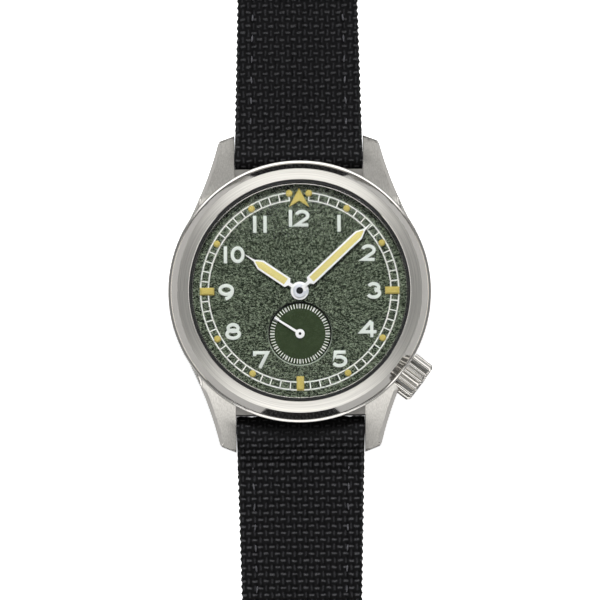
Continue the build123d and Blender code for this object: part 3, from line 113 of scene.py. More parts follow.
def add_node(tree: Tree, kind: str, inputs: dict[Any, Any] | None = None, **settings: Any) -> Shader:
    """Adds a node with its settings, and sets or links its inputs.

    Args:
        tree: The node tree that gets it.
        kind: The node's type.
        inputs: A value or a socket for each input, by name or number.
        **settings: Values for the node's own properties.

    Returns:
        The node.
    """
    node = tree.nodes.new(kind)
    for name, value in settings.items():
        setattr(node, name, value)
    for key, value in (inputs or {}).items():
        if isinstance(value, Socket):
            tree.links.new(value, node.inputs[key])
        else:
            node.inputs[key].default_value = value
    return node


def calc(tree: Tree, operation: str, first: Any, second: Any = 0.0) -> Socket:
    """Adds one step of a sum and returns its result."""
    return add_node(tree, "ShaderNodeMath", {0: first, 1: second}, operation=operation).outputs["Value"]


def on_object(tree: Tree) -> Socket:
    """Adds the object's own coordinates, so that a pattern stays where it is when the piece moves."""
    return add_node(tree, "ShaderNodeTexCoord").outputs["Object"]


def speckle(tree: Tree, where: Socket, size: float, detail: float = 2.0, **more: float) -> Socket:
    """Adds noise in 0..1.

    Args:
        tree: The node tree that gets it.
        where: The coordinates that it follows.
        size: How large its features are, in the coordinates' unit.
        detail: How many finer layers it has.
        **more: Values for the noise's other inputs.

    Returns:
        The noise.
    """
    inputs = {"Vector": where, "Scale": 1 / size, "Detail": detail} | more
    return add_node(tree, "ShaderNodeTexNoise", inputs).outputs["Fac"]


def clock(radius: float, angle: float) -> Point:
    """The point in plan at a radius and an angle in degrees, clockwise from 12 o'clock."""
    return (radius * math.sin(math.radians(angle)), radius * math.cos(math.radians(angle)))


def arc(centre: Point, radii: Point, start: float, end: float, steps: int = 24) -> list[Point]:
    """Points along an arc of an ellipse.

    Args:
        centre: Its centre.
        radii: Its half width and half height.
        start: First angle in degrees, anticlockwise from +X.
        end: Last angle in degrees.
        steps: How many runs it is cut into.

    Returns:
        The points, both ends included.
    """
    turns = [math.radians(start + (end - start) * i / steps) for i in range(steps + 1)]
    return [(centre[0] + radii[0] * math.cos(a), centre[1] + radii[1] * math.sin(a)) for a in turns]


def oval(centre: Point, radii: Point, steps: int) -> list[Point]:
    """Points all the way round an ellipse, with the first one given once."""
    return arc(centre, radii, 0, 360, steps)[:-1]


@contextmanager
def edited(mesh: Mesh) -> Iterator[bmesh.types.BMesh]:
    """Opens a mesh for editing and writes it back."""
    work = bmesh.new()
    work.from_mesh(mesh)
    yield work
    work.to_mesh(mesh)
    work.free()


def edge_middle(edge: bmesh.types.BMEdge) -> Vector:
    """The point half way along an edge."""
    return (edge.verts[0].co + edge.verts[1].co) / 2


def new_mesh(
    name: str,
    points: Iterable[Sequence[float]],
    faces: Iterable[Sequence[int]],
    cloth: Sequence[Point] | None = None,
) -> Mesh:
    """Makes a mesh with its faces turned outwards.

    Args:
        name: Its name.
        points: Its points.
        faces: Its faces, as rows of places in the points.
        cloth: Where each point lies on the cloth, counted in yarns across and along, if it is woven.

    Returns:
        The mesh.
    """
    mesh = bpy.data.meshes.new(name)
    mesh.from_pydata([tuple(p) for p in points], [], [tuple(f) for f in faces])
    if cloth is not None:
        layer = mesh.uv_layers.new(name=CLOTH_MAP)
        for loop in mesh.loops:
            layer.uv[loop.index].vector = cloth[loop.vertex_index]
    return tidied(mesh)


def tidied(mesh: Mesh, distance: float = 1e-7) -> Mesh:
    """Merges a mesh's doubles and turns its faces outwards."""
    with edited(mesh) as work:
        bmesh.ops.remove_doubles(work, verts=work.verts, dist=distance)
        bmesh.ops.dissolve_degenerate(work, edges=work.edges, dist=distance)
        bmesh.ops.recalc_face_normals(work, faces=work.faces)
    return mesh


def smoothed(mesh: Mesh, angle: float = 32.0) -> Mesh:
    """Shades a mesh smooth, but for edges sharper than an angle in degrees."""
    mesh.shade_smooth()
    with edited(mesh) as work:
        for edge in work.edges:
            edge.smooth = len(edge.link_faces) != 2 or edge.calc_face_angle(0.0) < math.radians(angle)
    return mesh


def joined(name: str, meshes: Iterable[Mesh]) -> Mesh:
    """Puts several meshes into one."""
    work = bmesh.new()
    for mesh in meshes:
        work.from_mesh(mesh)
    result = bpy.data.meshes.new(name)
    work.to_mesh(result)
    work.free()
    return result


def evaluated(name: str, mesh: Mesh, modify: Callable[[Piece], None]) -> Mesh:
    """Runs modifiers on a mesh and keeps the plain result.

    Args:
        name: The new mesh's name.
        mesh: What the modifiers start from.
        modify: Adds the modifiers to an object that holds the mesh.

    Returns:
        The finished mesh.
    """
    holder = bpy.data.objects.new(name + "_holder", mesh)
    bpy.context.scene.collection.objects.link(holder)
    modify(holder)
    bpy.context.view_layer.update()
    graph = bpy.context.evaluated_depsgraph_get()
    result = bpy.data.meshes.new_from_object(holder.evaluated_get(graph), depsgraph=graph)
    result.name = name
    holder.modifiers.clear()
    bpy.data.objects.remove(holder)
    return result


def unfaceted(mesh: Mesh) -> Mesh:
    """Joins a mesh's level triangles into whole faces. No face may go round a hole."""
    with edited(mesh) as work:
        bmesh.ops.dissolve_limit(work, angle_limit=LEVEL_ANGLE, verts=work.verts, edges=work.edges)
    return mesh


def bevelled(
    mesh: Mesh, width: float, angle: float = 35.0, spared: Callable[[Vector], bool] | None = None
) -> Mesh:
    """Rounds a mesh's sharp edges.

    Args:
        mesh: The mesh.
        width: How wide the rounding is.
        angle: The least angle in degrees of an outer edge that gets it.
        spared: Whether the edge round a point stays sharp.

    Returns:
        The rounded mesh.
    """
    with edited(mesh) as work:
        weight = work.edges.layers.float.new("bevel_weight_edge")
        for edge in work.edges:
            outer = len(edge.link_faces) == 2 and edge.is_convex
            if outer and edge.calc_face_angle(0.0) > math.radians(angle):
                edge[weight] = 0.0 if spared and spared(edge_middle(edge)) else 1.0

    def modify(holder: Piece) -> None:
        """Adds the bevel, unclamped, because one short edge would else narrow them all."""
        bevel = holder.modifiers.new("bevel", "BEVEL")
        bevel.width, bevel.segments, bevel.limit_method = width, BEVEL_SEGMENTS, "WEIGHT"
        bevel.miter_outer, bevel.use_clamp_overlap = "MITER_ARC", False

    return smoothed(evaluated(mesh.name + "_bevelled", mesh, modify))


def copied(node: str, width: float = 0.0, angle: float = 50.0) -> Mesh:
    """A merged copy of a CAD node's mesh, with its sharp edges rounded where a width is given."""
    mesh = tidied(NODES[node].data.copy(), 1e-6)
    mesh.materials.clear()
    return bevelled(unfaceted(mesh), width, angle=angle) if width else smoothed(mesh)


def lathe(
    name: str, outline: Sequence[Point], segments: int, centre: Point = (0.0, 0.0), closed: bool = True
) -> Mesh:
    """Turns an outline round an upright axis.

    Args:
        name: The mesh's name.
        outline: Radius and height of each point.
        segments: How many faces go round.
        centre: The axis in plan.
        closed: Whether the outline's end joins its start, which it doesn't where both lie on the axis.

    Returns:
        The turned mesh.
    """
    points, faces = [], []
    count = len(outline)
    open_ended = not closed or outline[0][0] == 0 and outline[-1][0] == 0
    for i in range(segments):
        turn = math.tau * i / segments
        points += [(centre[0] + r * math.cos(turn), centre[1] + r * math.sin(turn), z) for r, z in outline]
        near, far = i * count, (i + 1) % segments * count
        for j in range(count - 1 if open_ended else count):
            k = (j + 1) % count
            faces.append((near + j, far + j, far + k, near + k))
    return new_mesh(name, points, faces)


def ribbon(path: Sequence[Point], width: float, closed: bool = False) -> list[list[Point]]:
    """The quads of a stroke of even width along a path.

    Args:
        path: The stroke's middle line.
        width: How wide it is.
        closed: Whether its end meets its start.

    Returns:
        One list of four corners for each run, mitred at the path's corners.
    """
    count = len(path)
    sides = []
    for i, here in enumerate(path):
        before = path[i - 1] if i or closed else here
        after = path[(i + 1) % count] if i < count - 1 or closed else here
        first = Vector((here[0] - before[0], here[1] - before[1]))
        second = Vector((after[0] - here[0], after[1] - here[1]))
        first = first.normalized() if first.length else second.normalized()
        second = second.normalized() if second.length else first
        along = (first + second).normalized()
        reach = width / 2 / max(along.dot(first), 0.35)
        step = Vector((-along.y, along.x)) * reach
        sides.append((tuple(Vector(here) + step), tuple(Vector(here) - step)))
    pairs = [(sides[i], sides[(i + 1) % count]) for i in range(count if closed else count - 1)]
    return [[near[0], near[1], far[1], far[0]] for near, far in pairs]


def holds(shape: Sequence[Point], point: Vector) -> bool:
    """Whether a point lies within a shape that bulges everywhere, its edge included."""
    pairs = zip(shape, [*shape[1:], shape[0]])
    turns = [(b[0] - a[0]) * (point.y - a[1]) - (b[1] - a[1]) * (point.x - a[0]) for a, b in pairs]
    return min(turns) >= 0 or max(turns) <= 0


def inside(outline: Sequence[Point], point: Vector) -> bool:
    """Whether a point lies inside any closed outline."""
    crossed = 0
    for (ax, ay), (bx, by) in zip(outline, [*outline[1:], outline[0]]):
        if (ay > point.y) != (by > point.y):
            crossed += point.x < ax + (bx - ax) * (point.y - ay) / (by - ay)
    return crossed % 2 == 1


def raised(name: str, shapes: Sequence[Sequence[Point]], bottom: float, top: float) -> Mesh:
    """Joins flat shapes into one outline and makes it solid between two heights.

    Args:
        name: The mesh's name.
        shapes: The flat shapes, which may overlap.
        bottom: The lower height.
        top: The upper height.

    Returns:
        A closed mesh.
    """
    corners, outlines = [], []
    for shape in shapes:
        outlines.append(list(range(len(corners), len(corners) + len(shape))))
        corners += [Vector(p) for p in shape]
    flat, _, found, *_ = delaunay_2d_cdt(corners, [], outlines, 0, 1e-9)
    middles = [(flat[a] + flat[b] + flat[c]) / 3 for a, b, c in found]
    triangles = [t for t, middle in zip(found, middles) if any(holds(shape, middle) for shape in shapes)]
    edges = {(triangle[i], triangle[(i + 1) % 3]) for triangle in triangles for i in range(3)}
    rim = [pair for pair in edges if (pair[1], pair[0]) not in edges]
    count = len(flat)
    points = [(p.x, p.y, top) for p in flat] + [(p.x, p.y, bottom) for p in flat]
    faces = [tuple(t) for t in triangles] + [tuple(i + count for i in reversed(t)) for t in triangles]
    faces += [(a + count, b + count, b, a) for a, b in rim]
    return new_mesh(name, points, faces)


def place(name: str, mesh: Mesh, body: str, finish: "Finish", replaces: Sequence[str] = ()) -> Piece:
    """Puts a mesh on the watch as a piece.

    Args:
        name: The piece's name.
        mesh: Its mesh, already where it belongs.
        body: The body that it rides on.
        finish: How it looks.
        replaces: The CAD nodes that it stands for.

    Returns:
        The piece.
    """
    mesh.name = name
    if not len(mesh.materials):
        mesh.materials.append(finish.material())
    piece = bpy.data.objects.new(name, mesh)
    bpy.context.scene.collection.objects.link(piece)
    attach(piece, body)
    if replaces:
        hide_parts(*replaces)
    LOG.info("%s: %d faces on %s", name, len(mesh.polygons), body)
    return piece


def dress(finish: "Finish", *names: str) -> None:
    """Gives CAD nodes a finish."""
    for name in names:
        node = NODES[name]
        node.data.materials.clear()
        node.data.materials.append(finish.material())


def body_of(node: str) -> str:
    """The body that carries a CAD node."""
    return NODES[node]["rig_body"]


def low(node: str) -> Vector:
    """The lowest corner of a CAD node."""
    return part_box(node)[0]


def high(node: str) -> Vector:
    """The highest corner of a CAD node."""
    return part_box(node)[1]


# Finishes


@dataclass(frozen=True)
class Finish:
    """A finish without a pattern. The others add theirs to it."""

    name: str
    slot: str
    colour: str
    roughness: float = 0.5
    metallic: float = 0.0

    def material(self) -> bpy.types.Material:
        """Makes the material, or finds it where it has been made."""
        found = bpy.data.materials.get(self.name)
        if found is not None:
            return found
        made = bpy.data.materials.new(self.name)
        made.use_nodes = True
        shader = made.node_tree.nodes["Principled BSDF"]
        shader.inputs["Base Color"].default_value = linear(self.colour)
        shader.inputs["Roughness"].default_value = self.roughness
        shader.inputs["Metallic"].default_value = self.metallic
        self.pattern(made.node_tree, shader)
        return made

    def pattern(self, tree: Tree, shader: Shader) -> None:
        """Adds what varies over the surface: here, faint unevenness of the gloss."""
        cloud = speckle(tree, on_object(tree), 2 * MM, 3.0)
        spread = (max(self.roughness - 0.05, 0.02), self.roughness + 0.05)
        vary(tree, cloud, spread, shader.inputs["Roughness"])


def vary(tree: Tree, source: Socket, spread: Point, target: Socket) -> None:
    """Maps a source from 0..1 to a spread and links it to a target."""
    mapped = add_node(tree, "ShaderNodeMapRange", {"Value": source, "To Min": spread[0], "To Max": spread[1]})
    tree.links.new(mapped.outputs["Result"], target)


def tint(tree: Tree, source: Socket, dark: str, light: str, spread: Point, target: Socket) -> None:
    """Links a source to a colour target through a ramp from dark to light."""
    ramp = add_node(tree, "ShaderNodeValToRGB", {"Fac": source})
    ramp.color_ramp.elements[0].color, ramp.color_ramp.elements[1].color = linear(dark), linear(light)
    ramp.color_ramp.elements[0].position, ramp.color_ramp.elements[1].position = spread
    tree.links.new(ramp.outputs["Color"], target)


def bump(tree: Tree, height: Socket, depth: float, target: Socket, strength: float = 1.0) -> None:
    """Links a height in 0..1 to a normal target, with its depth in metres."""
    node = add_node(tree, "ShaderNodeBump", {"Height": height, "Distance": depth, "Strength": strength})
    tree.links.new(node.outputs["Normal"], target)


@dataclass(frozen=True)
class BrushedSteel(Finish):
    """Stainless steel with a brushed grain, which draws highlights out across the brushing."""

    axis: Axis = Axis.ALONG_Y
    grain: float = 0.12 * MM
    depth: float = 0.001 * MM
    contrast: float = 0.07
    stretch: float = 0.7

    def pattern(self, tree: Tree, shader: Shader) -> None:
        """Adds the grain. Real brushing is finer than this, which is as coarse as it needs to show."""
        coords = on_object(tree)
        if self.axis is Axis.ROUND:
            along = self.wound(tree, coords)
            tangent = add_node(tree, "ShaderNodeTangent", direction_type="RADIAL", axis="Z")
            shader.inputs["Anisotropic Rotation"].default_value = 0.25
        else:
            squeeze = (0.02, 1.0, 1.0) if self.axis is Axis.ALONG_X else (1.0, 0.02, 1.0)
            drawn = add_node(tree, "ShaderNodeMapping", {"Vector": coords, "Scale": squeeze})
            along = drawn.outputs["Vector"]
            across = "Y" if self.axis is Axis.ALONG_X else "X"
            tangent = add_node(tree, "ShaderNodeCombineXYZ", {across: 1.0})
        lines = speckle(tree, along, self.grain, Roughness=0.6)
        dark, light = shade(self.colour, 1 - self.contrast), shade(self.colour, 1 + self.contrast)
        tint(tree, lines, dark, light, (0.3, 0.7), shader.inputs["Base Color"])
        bump(tree, lines, self.depth, shader.inputs["Normal"])
        shader.inputs["Anisotropic"].default_value = self.stretch
        tree.links.new(tangent.outputs[0], shader.inputs["Tangent"])

    def wound(self, tree: Tree, coords: Socket) -> Socket:
        """Coordinates that turn round with a lathe's marks: the radius, and a slow step along the turn."""
        parts = add_node(tree, "ShaderNodeSeparateXYZ", {"Vector": coords}).outputs
        flat = add_node(tree, "ShaderNodeCombineXYZ", {"X": parts["X"], "Y": parts["Y"]}).outputs["Vector"]
        reach = add_node(tree, "ShaderNodeVectorMath", {0: flat}, operation="LENGTH").outputs["Value"]
        slow = calc(tree, "MULTIPLY", calc(tree, "ARCTAN2", parts["Y"], parts["X"]), 1.5 * self.grain)
        wound = add_node(tree, "ShaderNodeCombineXYZ", {"X": reach, "Y": slow, "Z": parts["Z"]})
        return wound.outputs["Vector"]


def shade(colour: str, factor: float) -> str:
    """A hex colour made darker or lighter by a factor."""
    parts = [min(255, max(0, round(int(colour[i : i + 2], 16) * factor))) for i in (1, 3, 5)]
    return "#" + "".join(f"{p:02x}" for p in parts)


@dataclass(frozen=True)
class GrainedLacquer(Finish):
    """Lacquer over a crinkled ground: its bump breaks the light into specks, and painted highlight and painted
    shade add to them.
    """

    grain: float = 0.17 * MM
    depth: float = 0.24 * MM
    # The crests' painted highlight colour; the base colour is painted into the furrows as shade.
    light: str = "#9aa88e"
    spread: Point = (0.49, 0.62)
    squeeze: float = 0.6

    def pattern(self, tree: Tree, shader: Shader) -> None:
        """Adds the crinkle: its crests are painted light as highlight, and its furrows painted dark as shade.
        """
        inputs = {"Vector": on_object(tree), "Scale": (self.squeeze, 1.0, 1.0)}
        drawn = add_node(tree, "ShaderNodeMapping", inputs).outputs["Vector"]
        crinkle = speckle(tree, drawn, self.grain, Distortion=1.4)
        tint(tree, crinkle, self.colour, self.light, self.spread, shader.inputs["Base Color"])
        vary(tree, crinkle, (self.roughness + 0.1, self.roughness - 0.1), shader.inputs["Roughness"])
        bump(tree, crinkle, self.depth, shader.inputs["Normal"])
        shader.inputs["Specular IOR Level"].default_value = 0.2


@dataclass(frozen=True)
class Glass(Finish):
    """Coated sapphire: it hardly shows, but for a faint gloss."""

    veil: float = 0.1

    def pattern(self, tree: Tree, shader: Shader) -> None:
        """Lets most light straight through, and keeps the sockets plain."""
        shader.inputs["IOR"].default_value = 1.45
        shader.inputs["Transmission Weight"].default_value = 1.0
        shader.inputs["Alpha"].default_value = self.veil


@dataclass(frozen=True)
class Lume(Finish):
    """Luminous filling: matt, dense and slightly grainy."""

    light: str = "#e0cf7a"

    def pattern(self, tree: Tree, shader: Shader) -> None:
        """Adds the fine grain of the pigment."""
        grain = speckle(tree, on_object(tree), 0.12 * MM)
        tint(tree, grain, self.colour, self.light, (0.3, 0.7), shader.inputs["Base Color"])
        bump(tree, grain, 0.01 * MM, shader.inputs["Normal"])


@dataclass(frozen=True)
class Cloth(Finish):
    """Spun nylon: dull yarn with a soft sheen, and fibres that run unevenly over it."""

    light: str = "#1d1d1f"
    fibre: float = 0.11 * MM

    def pattern(self, tree: Tree, shader: Shader) -> None:
        """Adds the fibres. Real ones are about 0.02 mm thick; these are bundles that still show."""
        fuzz = self.fuzz(tree)
        tint(tree, fuzz, self.colour, self.light, (0.3, 0.7), shader.inputs["Base Color"])
        bump(tree, fuzz, 0.05 * MM, shader.inputs["Normal"], 0.6)
        shader.inputs["Sheen Weight"].default_value = 0.02
        shader.inputs["Sheen Roughness"].default_value = 0.4
        shader.inputs["Specular IOR Level"].default_value = 0.12

    def fuzz(self, tree: Tree) -> Socket:
        """Noise that stands for the fibres."""
        return speckle(tree, on_object(tree), self.fibre, 3.0, Distortion=0.5)


@dataclass(frozen=True)
class Weave(Cloth):
    """Plain weave: a painted highlight lightens each yarn's crown where it crosses over the other; elsewhere
    the yarn keeps its dark colour, so the gaps are black.
    """

    # Painted highlight colours for the crowns of the weft and of the warp.
    weft: str = "#6a6a6d"
    warp: str = "#464649"
    weft_highlight_breadth: float = 0.2
    warp_highlight_breadth: float = 0.22
    wander: float = 0.5

    def pattern(self, tree: Tree, shader: Shader) -> None:
        """Adds painted highlights on the yarns' crowns to what all cloth has, from the place on the cloth."""
        super().pattern(tree, shader)
        spot = add_node(tree, "ShaderNodeUVMap", uv_map=CLOTH_MAP).outputs["UV"]
        drift = add_node(tree, "ShaderNodeTexNoise", {"Vector": spot, "Scale": 0.7, "Detail": 2.0})
        inputs = {0: drift.outputs["Color"], 3: self.wander}
        moved = add_node(tree, "ShaderNodeVectorMath", inputs, operation="SCALE")
        both = add_node(tree, "ShaderNodeVectorMath", {0: spot, 1: moved.outputs[0]}).outputs[0]
        axes = add_node(tree, "ShaderNodeSeparateXYZ", {"Vector": both}).outputs
        ground = shader.inputs["Base Color"].links[0].from_socket
        yarns = (("X", "Y", self.weft, 1, self.weft_highlight_breadth), ("Y", "X", self.warp, 0, self.warp_highlight_breadth))
        for along, aside, colour, over, breadth in yarns:
            # Each crown is mixed towards its painted highlight colour over the dark ground.
            crown = self.crown(tree, axes[along], axes[aside], over, breadth)
            inputs = {0: crown, 6: ground, 7: linear(colour)}
            ground = add_node(tree, "ShaderNodeMix", inputs, data_type="RGBA").outputs[2]
        tree.links.new(ground, shader.inputs["Base Color"])

    def crown(self, tree: Tree, along: Socket, aside: Socket, over: int, breadth: float) -> Socket:
        """How strongly the painted highlight shows on a yarn's crown.

        Args:
            tree: Where the nodes go.
            along: The place along the yarn, counted in yarns that it crosses.
            aside: The place across it, counted in yarns of its own kind.
            over: 1 where the first yarn starts above, else 0.
            breadth: The painted highlight's half breadth as a share of the pitch.

        Returns:
            A value from 0 to 1.
        """
        step = partial(calc, tree)
        row = step("FLOOR", aside)
        middle = step("SUBTRACT", step("SUBTRACT", aside, row), 0.5)
        line = step("SUBTRACT", 1.0, step("POWER", step("DIVIDE", middle, breadth), 2.0))
        phase = step("ADD", step("ADD", along, row), float(over))
        wave = step("SINE", step("MULTIPLY", phase, math.pi))
        lift = step("MULTIPLY", step("ADD", wave, 0.1), 1.3)
        shown = step("MINIMUM", step("MAXIMUM", lift, 0.0), 1.0)
        # Fibre noise makes the painted highlight patchy.
        patchy_highlight = step("MULTIPLY", step("SUBTRACT", self.fuzz(tree), 0.25), 1.8)
        return step("MULTIPLY", step("MULTIPLY", step("MAXIMUM", line, 0.0), shown), patchy_highlight)


def smooth_lacquer(name: str, slot: str, colour: str, roughness: float, light: str) -> GrainedLacquer:
    """Green lacquer over a nearly smooth ground."""
    return GrainedLacquer(name, slot, colour, roughness, grain=0.3 * MM, depth=0.004 * MM, light=light)


BEZEL_FACE = BrushedSteel("turned_steel", "brushed_steel_bezel", "#d6d3cc", 0.34, 1.0, axis=Axis.ROUND)
CASE_TOP = BrushedSteel("brushed_steel", "brushed_steel_case", "#bdbab4", 0.32, 1.0, stretch=0.5)
# Darker, rougher steel for the walls between the lugs: partly a plainer milled finish, partly painted shade.
MILLED_SHADED = Finish("milled_steel_painted_shade", "brushed_steel_case", "#a29f9a", 0.4, 1.0)
POLISHED = Finish("polished_steel", "brushed_steel_bezel", "#cfccc7", 0.09, 1.0)
CROWN_STEEL = Finish("crown_steel", "brushed_steel_case", "#cbc8c2", 0.13, 1.0)
BACK_STEEL = BrushedSteel("turned_back_steel", "brushed_steel_case", "#b9b6b0", 0.36, 1.0, axis=Axis.ROUND)
SAPPHIRE = Glass("coated_sapphire", "crystal_glass", "#ffffff", 0.0)
SEAL = Finish("moulded_nitrile", "black_seal", "#161616", 0.55)
# Its crinkle's crests are painted light as highlight and its furrows dark as shade.
DIAL_LACQUER = GrainedLacquer("crinkled_green_lacquer", "green_dial", "#161f14", 0.3)
SECONDS_LACQUER = smooth_lacquer("smooth_green_lacquer", "green_seconds_dial", "#28351d", 0.5, "#323f27")
# Paler copy of the green lacquer: painted highlight where the step's face catches the light.
LIT_STEP_LACQUER = smooth_lacquer("painted_lit_step_lacquer", "green_dial", "#98a393", 0.6, "#aab5a5")
# Near-black lacquer: painted shadow of the step on the seconds dial.
SHADOW_RING_LACQUER = smooth_lacquer("painted_shadow_lacquer", "green_dial", "#070a06", 0.7, "#0b0f0a")
PRINT = Finish("white_pad_print", "hand_metal", "#eef1eb", 0.5)
FIGURE = Finish("raised_white_figures", "hand_metal", "#dfe6df", 0.35)
MARKER_LUME = Lume("marker_lume", "lume", "#b3a14a", 0.5, light="#d0bf6c")
HAND_LUME = Lume("hand_lume", "lume", "#d6c873", 0.5, light="#e6db92")
HUB_METAL = Finish("satin_hand_hubs", "hand_metal", "#dadde4", 0.3, 0.4)
HAND_METAL = Finish("rhodium_plated_hands", "hand_metal", "#f7f8f7", 0.3, 0.15)
WEAVE = Weave("woven_nylon", "woven_strap", "#070708", 0.5, light="#101011")
THREAD = Cloth("stitching_thread", "woven_strap", "#48484c", 0.4, light="#7a7a7f")
LINING = Cloth("coated_lining", "strap_lining", "#101010", 0.6, light="#181818", fibre=0.4 * MM)
BUCKLE_STEEL = BrushedSteel("brushed_buckle_steel", "buckle_steel", "#c2bfb9", 0.32, 1.0, axis=Axis.ALONG_X)
BRASS = BrushedSteel("gilt_brass", "movement_brass", "#c8a257", 0.35, 1.0, axis=Axis.ROUND)
NICKEL = BrushedSteel("nickel_plated_brass", "movement_nickel", "#c5c3bd", 0.35, 1.0)
BLUED = Finish("blued_steel", "blued_screw", "#2c3f7c", 0.25, 1.0)
# Near-black steel for the posts' ends: painted shade for the bore in each hand's hub.
BORE_SHADE_STEEL = Finish("painted_bore_shade", "spring_steel", "#2b2c2f", 0.4, 1.0)
SPRING = Finish("spring_steel", "spring_steel", "#aeb2b8", 0.25, 1.0)
HOLDER = Finish("moulded_white_acetal", "white_ring", "#e4e2dc", 0.5)


# Geometry node recipes


class Recipe:
    """A geometry node tree with named inputs, which ends in real geometry with one material."""

    def __init__(
        self, name: str, lengths: Sequence[str], counts: Sequence[str], spots: Sequence[str] = ()
    ) -> None:
        """Starts the tree, which takes a material too.

        Args:
            name: Its name.
            lengths: The inputs that are lengths.
            counts: The inputs that are whole numbers.
            spots: The inputs that are points.
        """
        self.tree = bpy.data.node_groups.new(name, "GeometryNodeTree")
        self.identifiers = {}
        own = {"Geometry": ("Geometry",), "Material": ("Material",)}
        for kind, keys in (own | {"Float": lengths, "Int": counts, "Vector": spots}).items():
            for key in keys:
                made = self.tree.interface.new_socket(key, in_out="INPUT", socket_type=f"NodeSocket{kind}")
                self.identifiers[key] = made.identifier
        self.tree.interface.new_socket("Geometry", in_out="OUTPUT", socket_type="NodeSocketGeometry")
        self.given = self.add("NodeGroupInput").outputs

    def add(self, kind: str, inputs: dict[Any, Any] | None = None, **settings: Any) -> Shader:
        """Adds a node to the tree."""
        return add_node(self.tree, kind, inputs, **settings)

    def math(self, operation: str, first: Any, second: Any = 0.0) -> Socket:
        """Adds a sum of two values and returns its result."""
        return calc(self.tree, operation, first, second)

    def vector(self, **parts: Any) -> Socket:
        """Adds a vector made of its parts X, Y and Z."""
        return self.add("ShaderNodeCombineXYZ", parts).outputs["Vector"]

    def join(self, *parts: Socket) -> Socket:
        """Adds one geometry made of several."""
        joint = self.add("GeometryNodeJoinGeometry")
        for part in parts:
            self.tree.links.new(part, joint.inputs["Geometry"])
        return joint.outputs["Geometry"]

    def solid(self, face: Socket, bottom: Any, height: Any, share: Any = 1.0) -> Socket:
        """Makes a flat face solid, with an upper face that is a share of the lower one's size.

        Args:
            face: The flat face, at height zero.
            bottom: The lower height.
            height: How far it rises.
            share: The upper face's size as a share of the lower one's.

        Returns:
            The closed shape.
        """
        inputs = {"Mesh": face, "Offset Scale": height, "Individual": False}
        extruded = self.add("GeometryNodeExtrudeMesh", inputs)
        here = self.add("GeometryNodeInputPosition").outputs["Position"]
        factor = self.vector(X=share, Y=share, Z=1.0)
        scaled = self.add("ShaderNodeVectorMath", {0: here, 1: factor}, operation="MULTIPLY")
        inputs = {
            "Geometry": extruded.outputs["Mesh"],
            "Selection": extruded.outputs["Top"],
            "Position": scaled.outputs["Vector"],
        }
        shrunk = self.add("GeometryNodeSetPosition", inputs).outputs["Geometry"]
        under = self.add("GeometryNodeFlipFaces", {"Mesh": face}).outputs["Mesh"]
        inputs = {"Geometry": self.join(shrunk, under), "Translation": self.vector(Z=bottom)}
        return self.add("GeometryNodeTransform", inputs).outputs["Geometry"]

    def end(self, shape: Socket) -> None:
        """Makes the instances real, sets the material and closes the tree."""
        real = self.add("GeometryNodeRealizeInstances", {"Geometry": shape}).outputs["Geometry"]
        dressed = self.add("GeometryNodeSetMaterial", {"Geometry": real, "Material": self.given["Material"]})
        self.add("NodeGroupOutput", {"Geometry": dressed.outputs["Geometry"]})

    def grown(self, name: str, values: dict[str, Any], seed: Mesh | None = None) -> Mesh:
        """Runs the tree.

        Args:
            name: The new mesh's name.
            values: A value for each named input.
            seed: The mesh that the tree starts from, if it needs one.

        Returns:
            The plain mesh that the tree makes, which place() dresses.
        """

        def modify(holder: Piece) -> None:
            """Adds the tree with its values."""
            modifier = holder.modifiers.new("recipe", "NODES")
            modifier.node_group = self.tree
            for key, value in values.items():
                modifier[self.identifiers[key]] = value

        made = evaluated(name, seed or bpy.data.meshes.new("no_seed"), modify)
        made.materials.clear()
        return made


def ring_of_bars() -> Recipe:
    """The recipe for bars that stand in a ring, such as a scale's strokes."""
    recipe = Recipe("ring_of_bars", ("Radius", "Length", "Width", "Height"), ("Count",), ("Centre",))
    given = recipe.given
    points = recipe.add("GeometryNodePoints", {"Count": given["Count"]}).outputs[0]
    index = recipe.add("GeometryNodeInputIndex").outputs["Index"]
    turn = recipe.math("MULTIPLY", recipe.math("DIVIDE", index, given["Count"]), -math.tau)
    spin = recipe.vector(Z=turn)
    inputs = {"Vector": recipe.vector(Y=given["Radius"]), "Rotation": spin}
    placed = recipe.add("ShaderNodeVectorRotate", inputs, rotation_type="EULER_XYZ").outputs["Vector"]
    where = recipe.add("ShaderNodeVectorMath", {0: placed, 1: given["Centre"]}, operation="ADD")
    inputs = {"Geometry": points, "Position": where.outputs["Vector"]}
    moved = recipe.add("GeometryNodeSetPosition", inputs).outputs["Geometry"]
    size = recipe.vector(X=given["Width"], Y=given["Length"], Z=given["Height"])
    bar = recipe.add("GeometryNodeMeshCube", {"Size": size}).outputs["Mesh"]
    turned = recipe.add("FunctionNodeEulerToRotation", {0: spin}).outputs[0]
    inputs = {"Points": moved, "Instance": bar, "Rotation": turned}
    recipe.end(recipe.add("GeometryNodeInstanceOnPoints", inputs).outputs["Instances"])
    return recipe


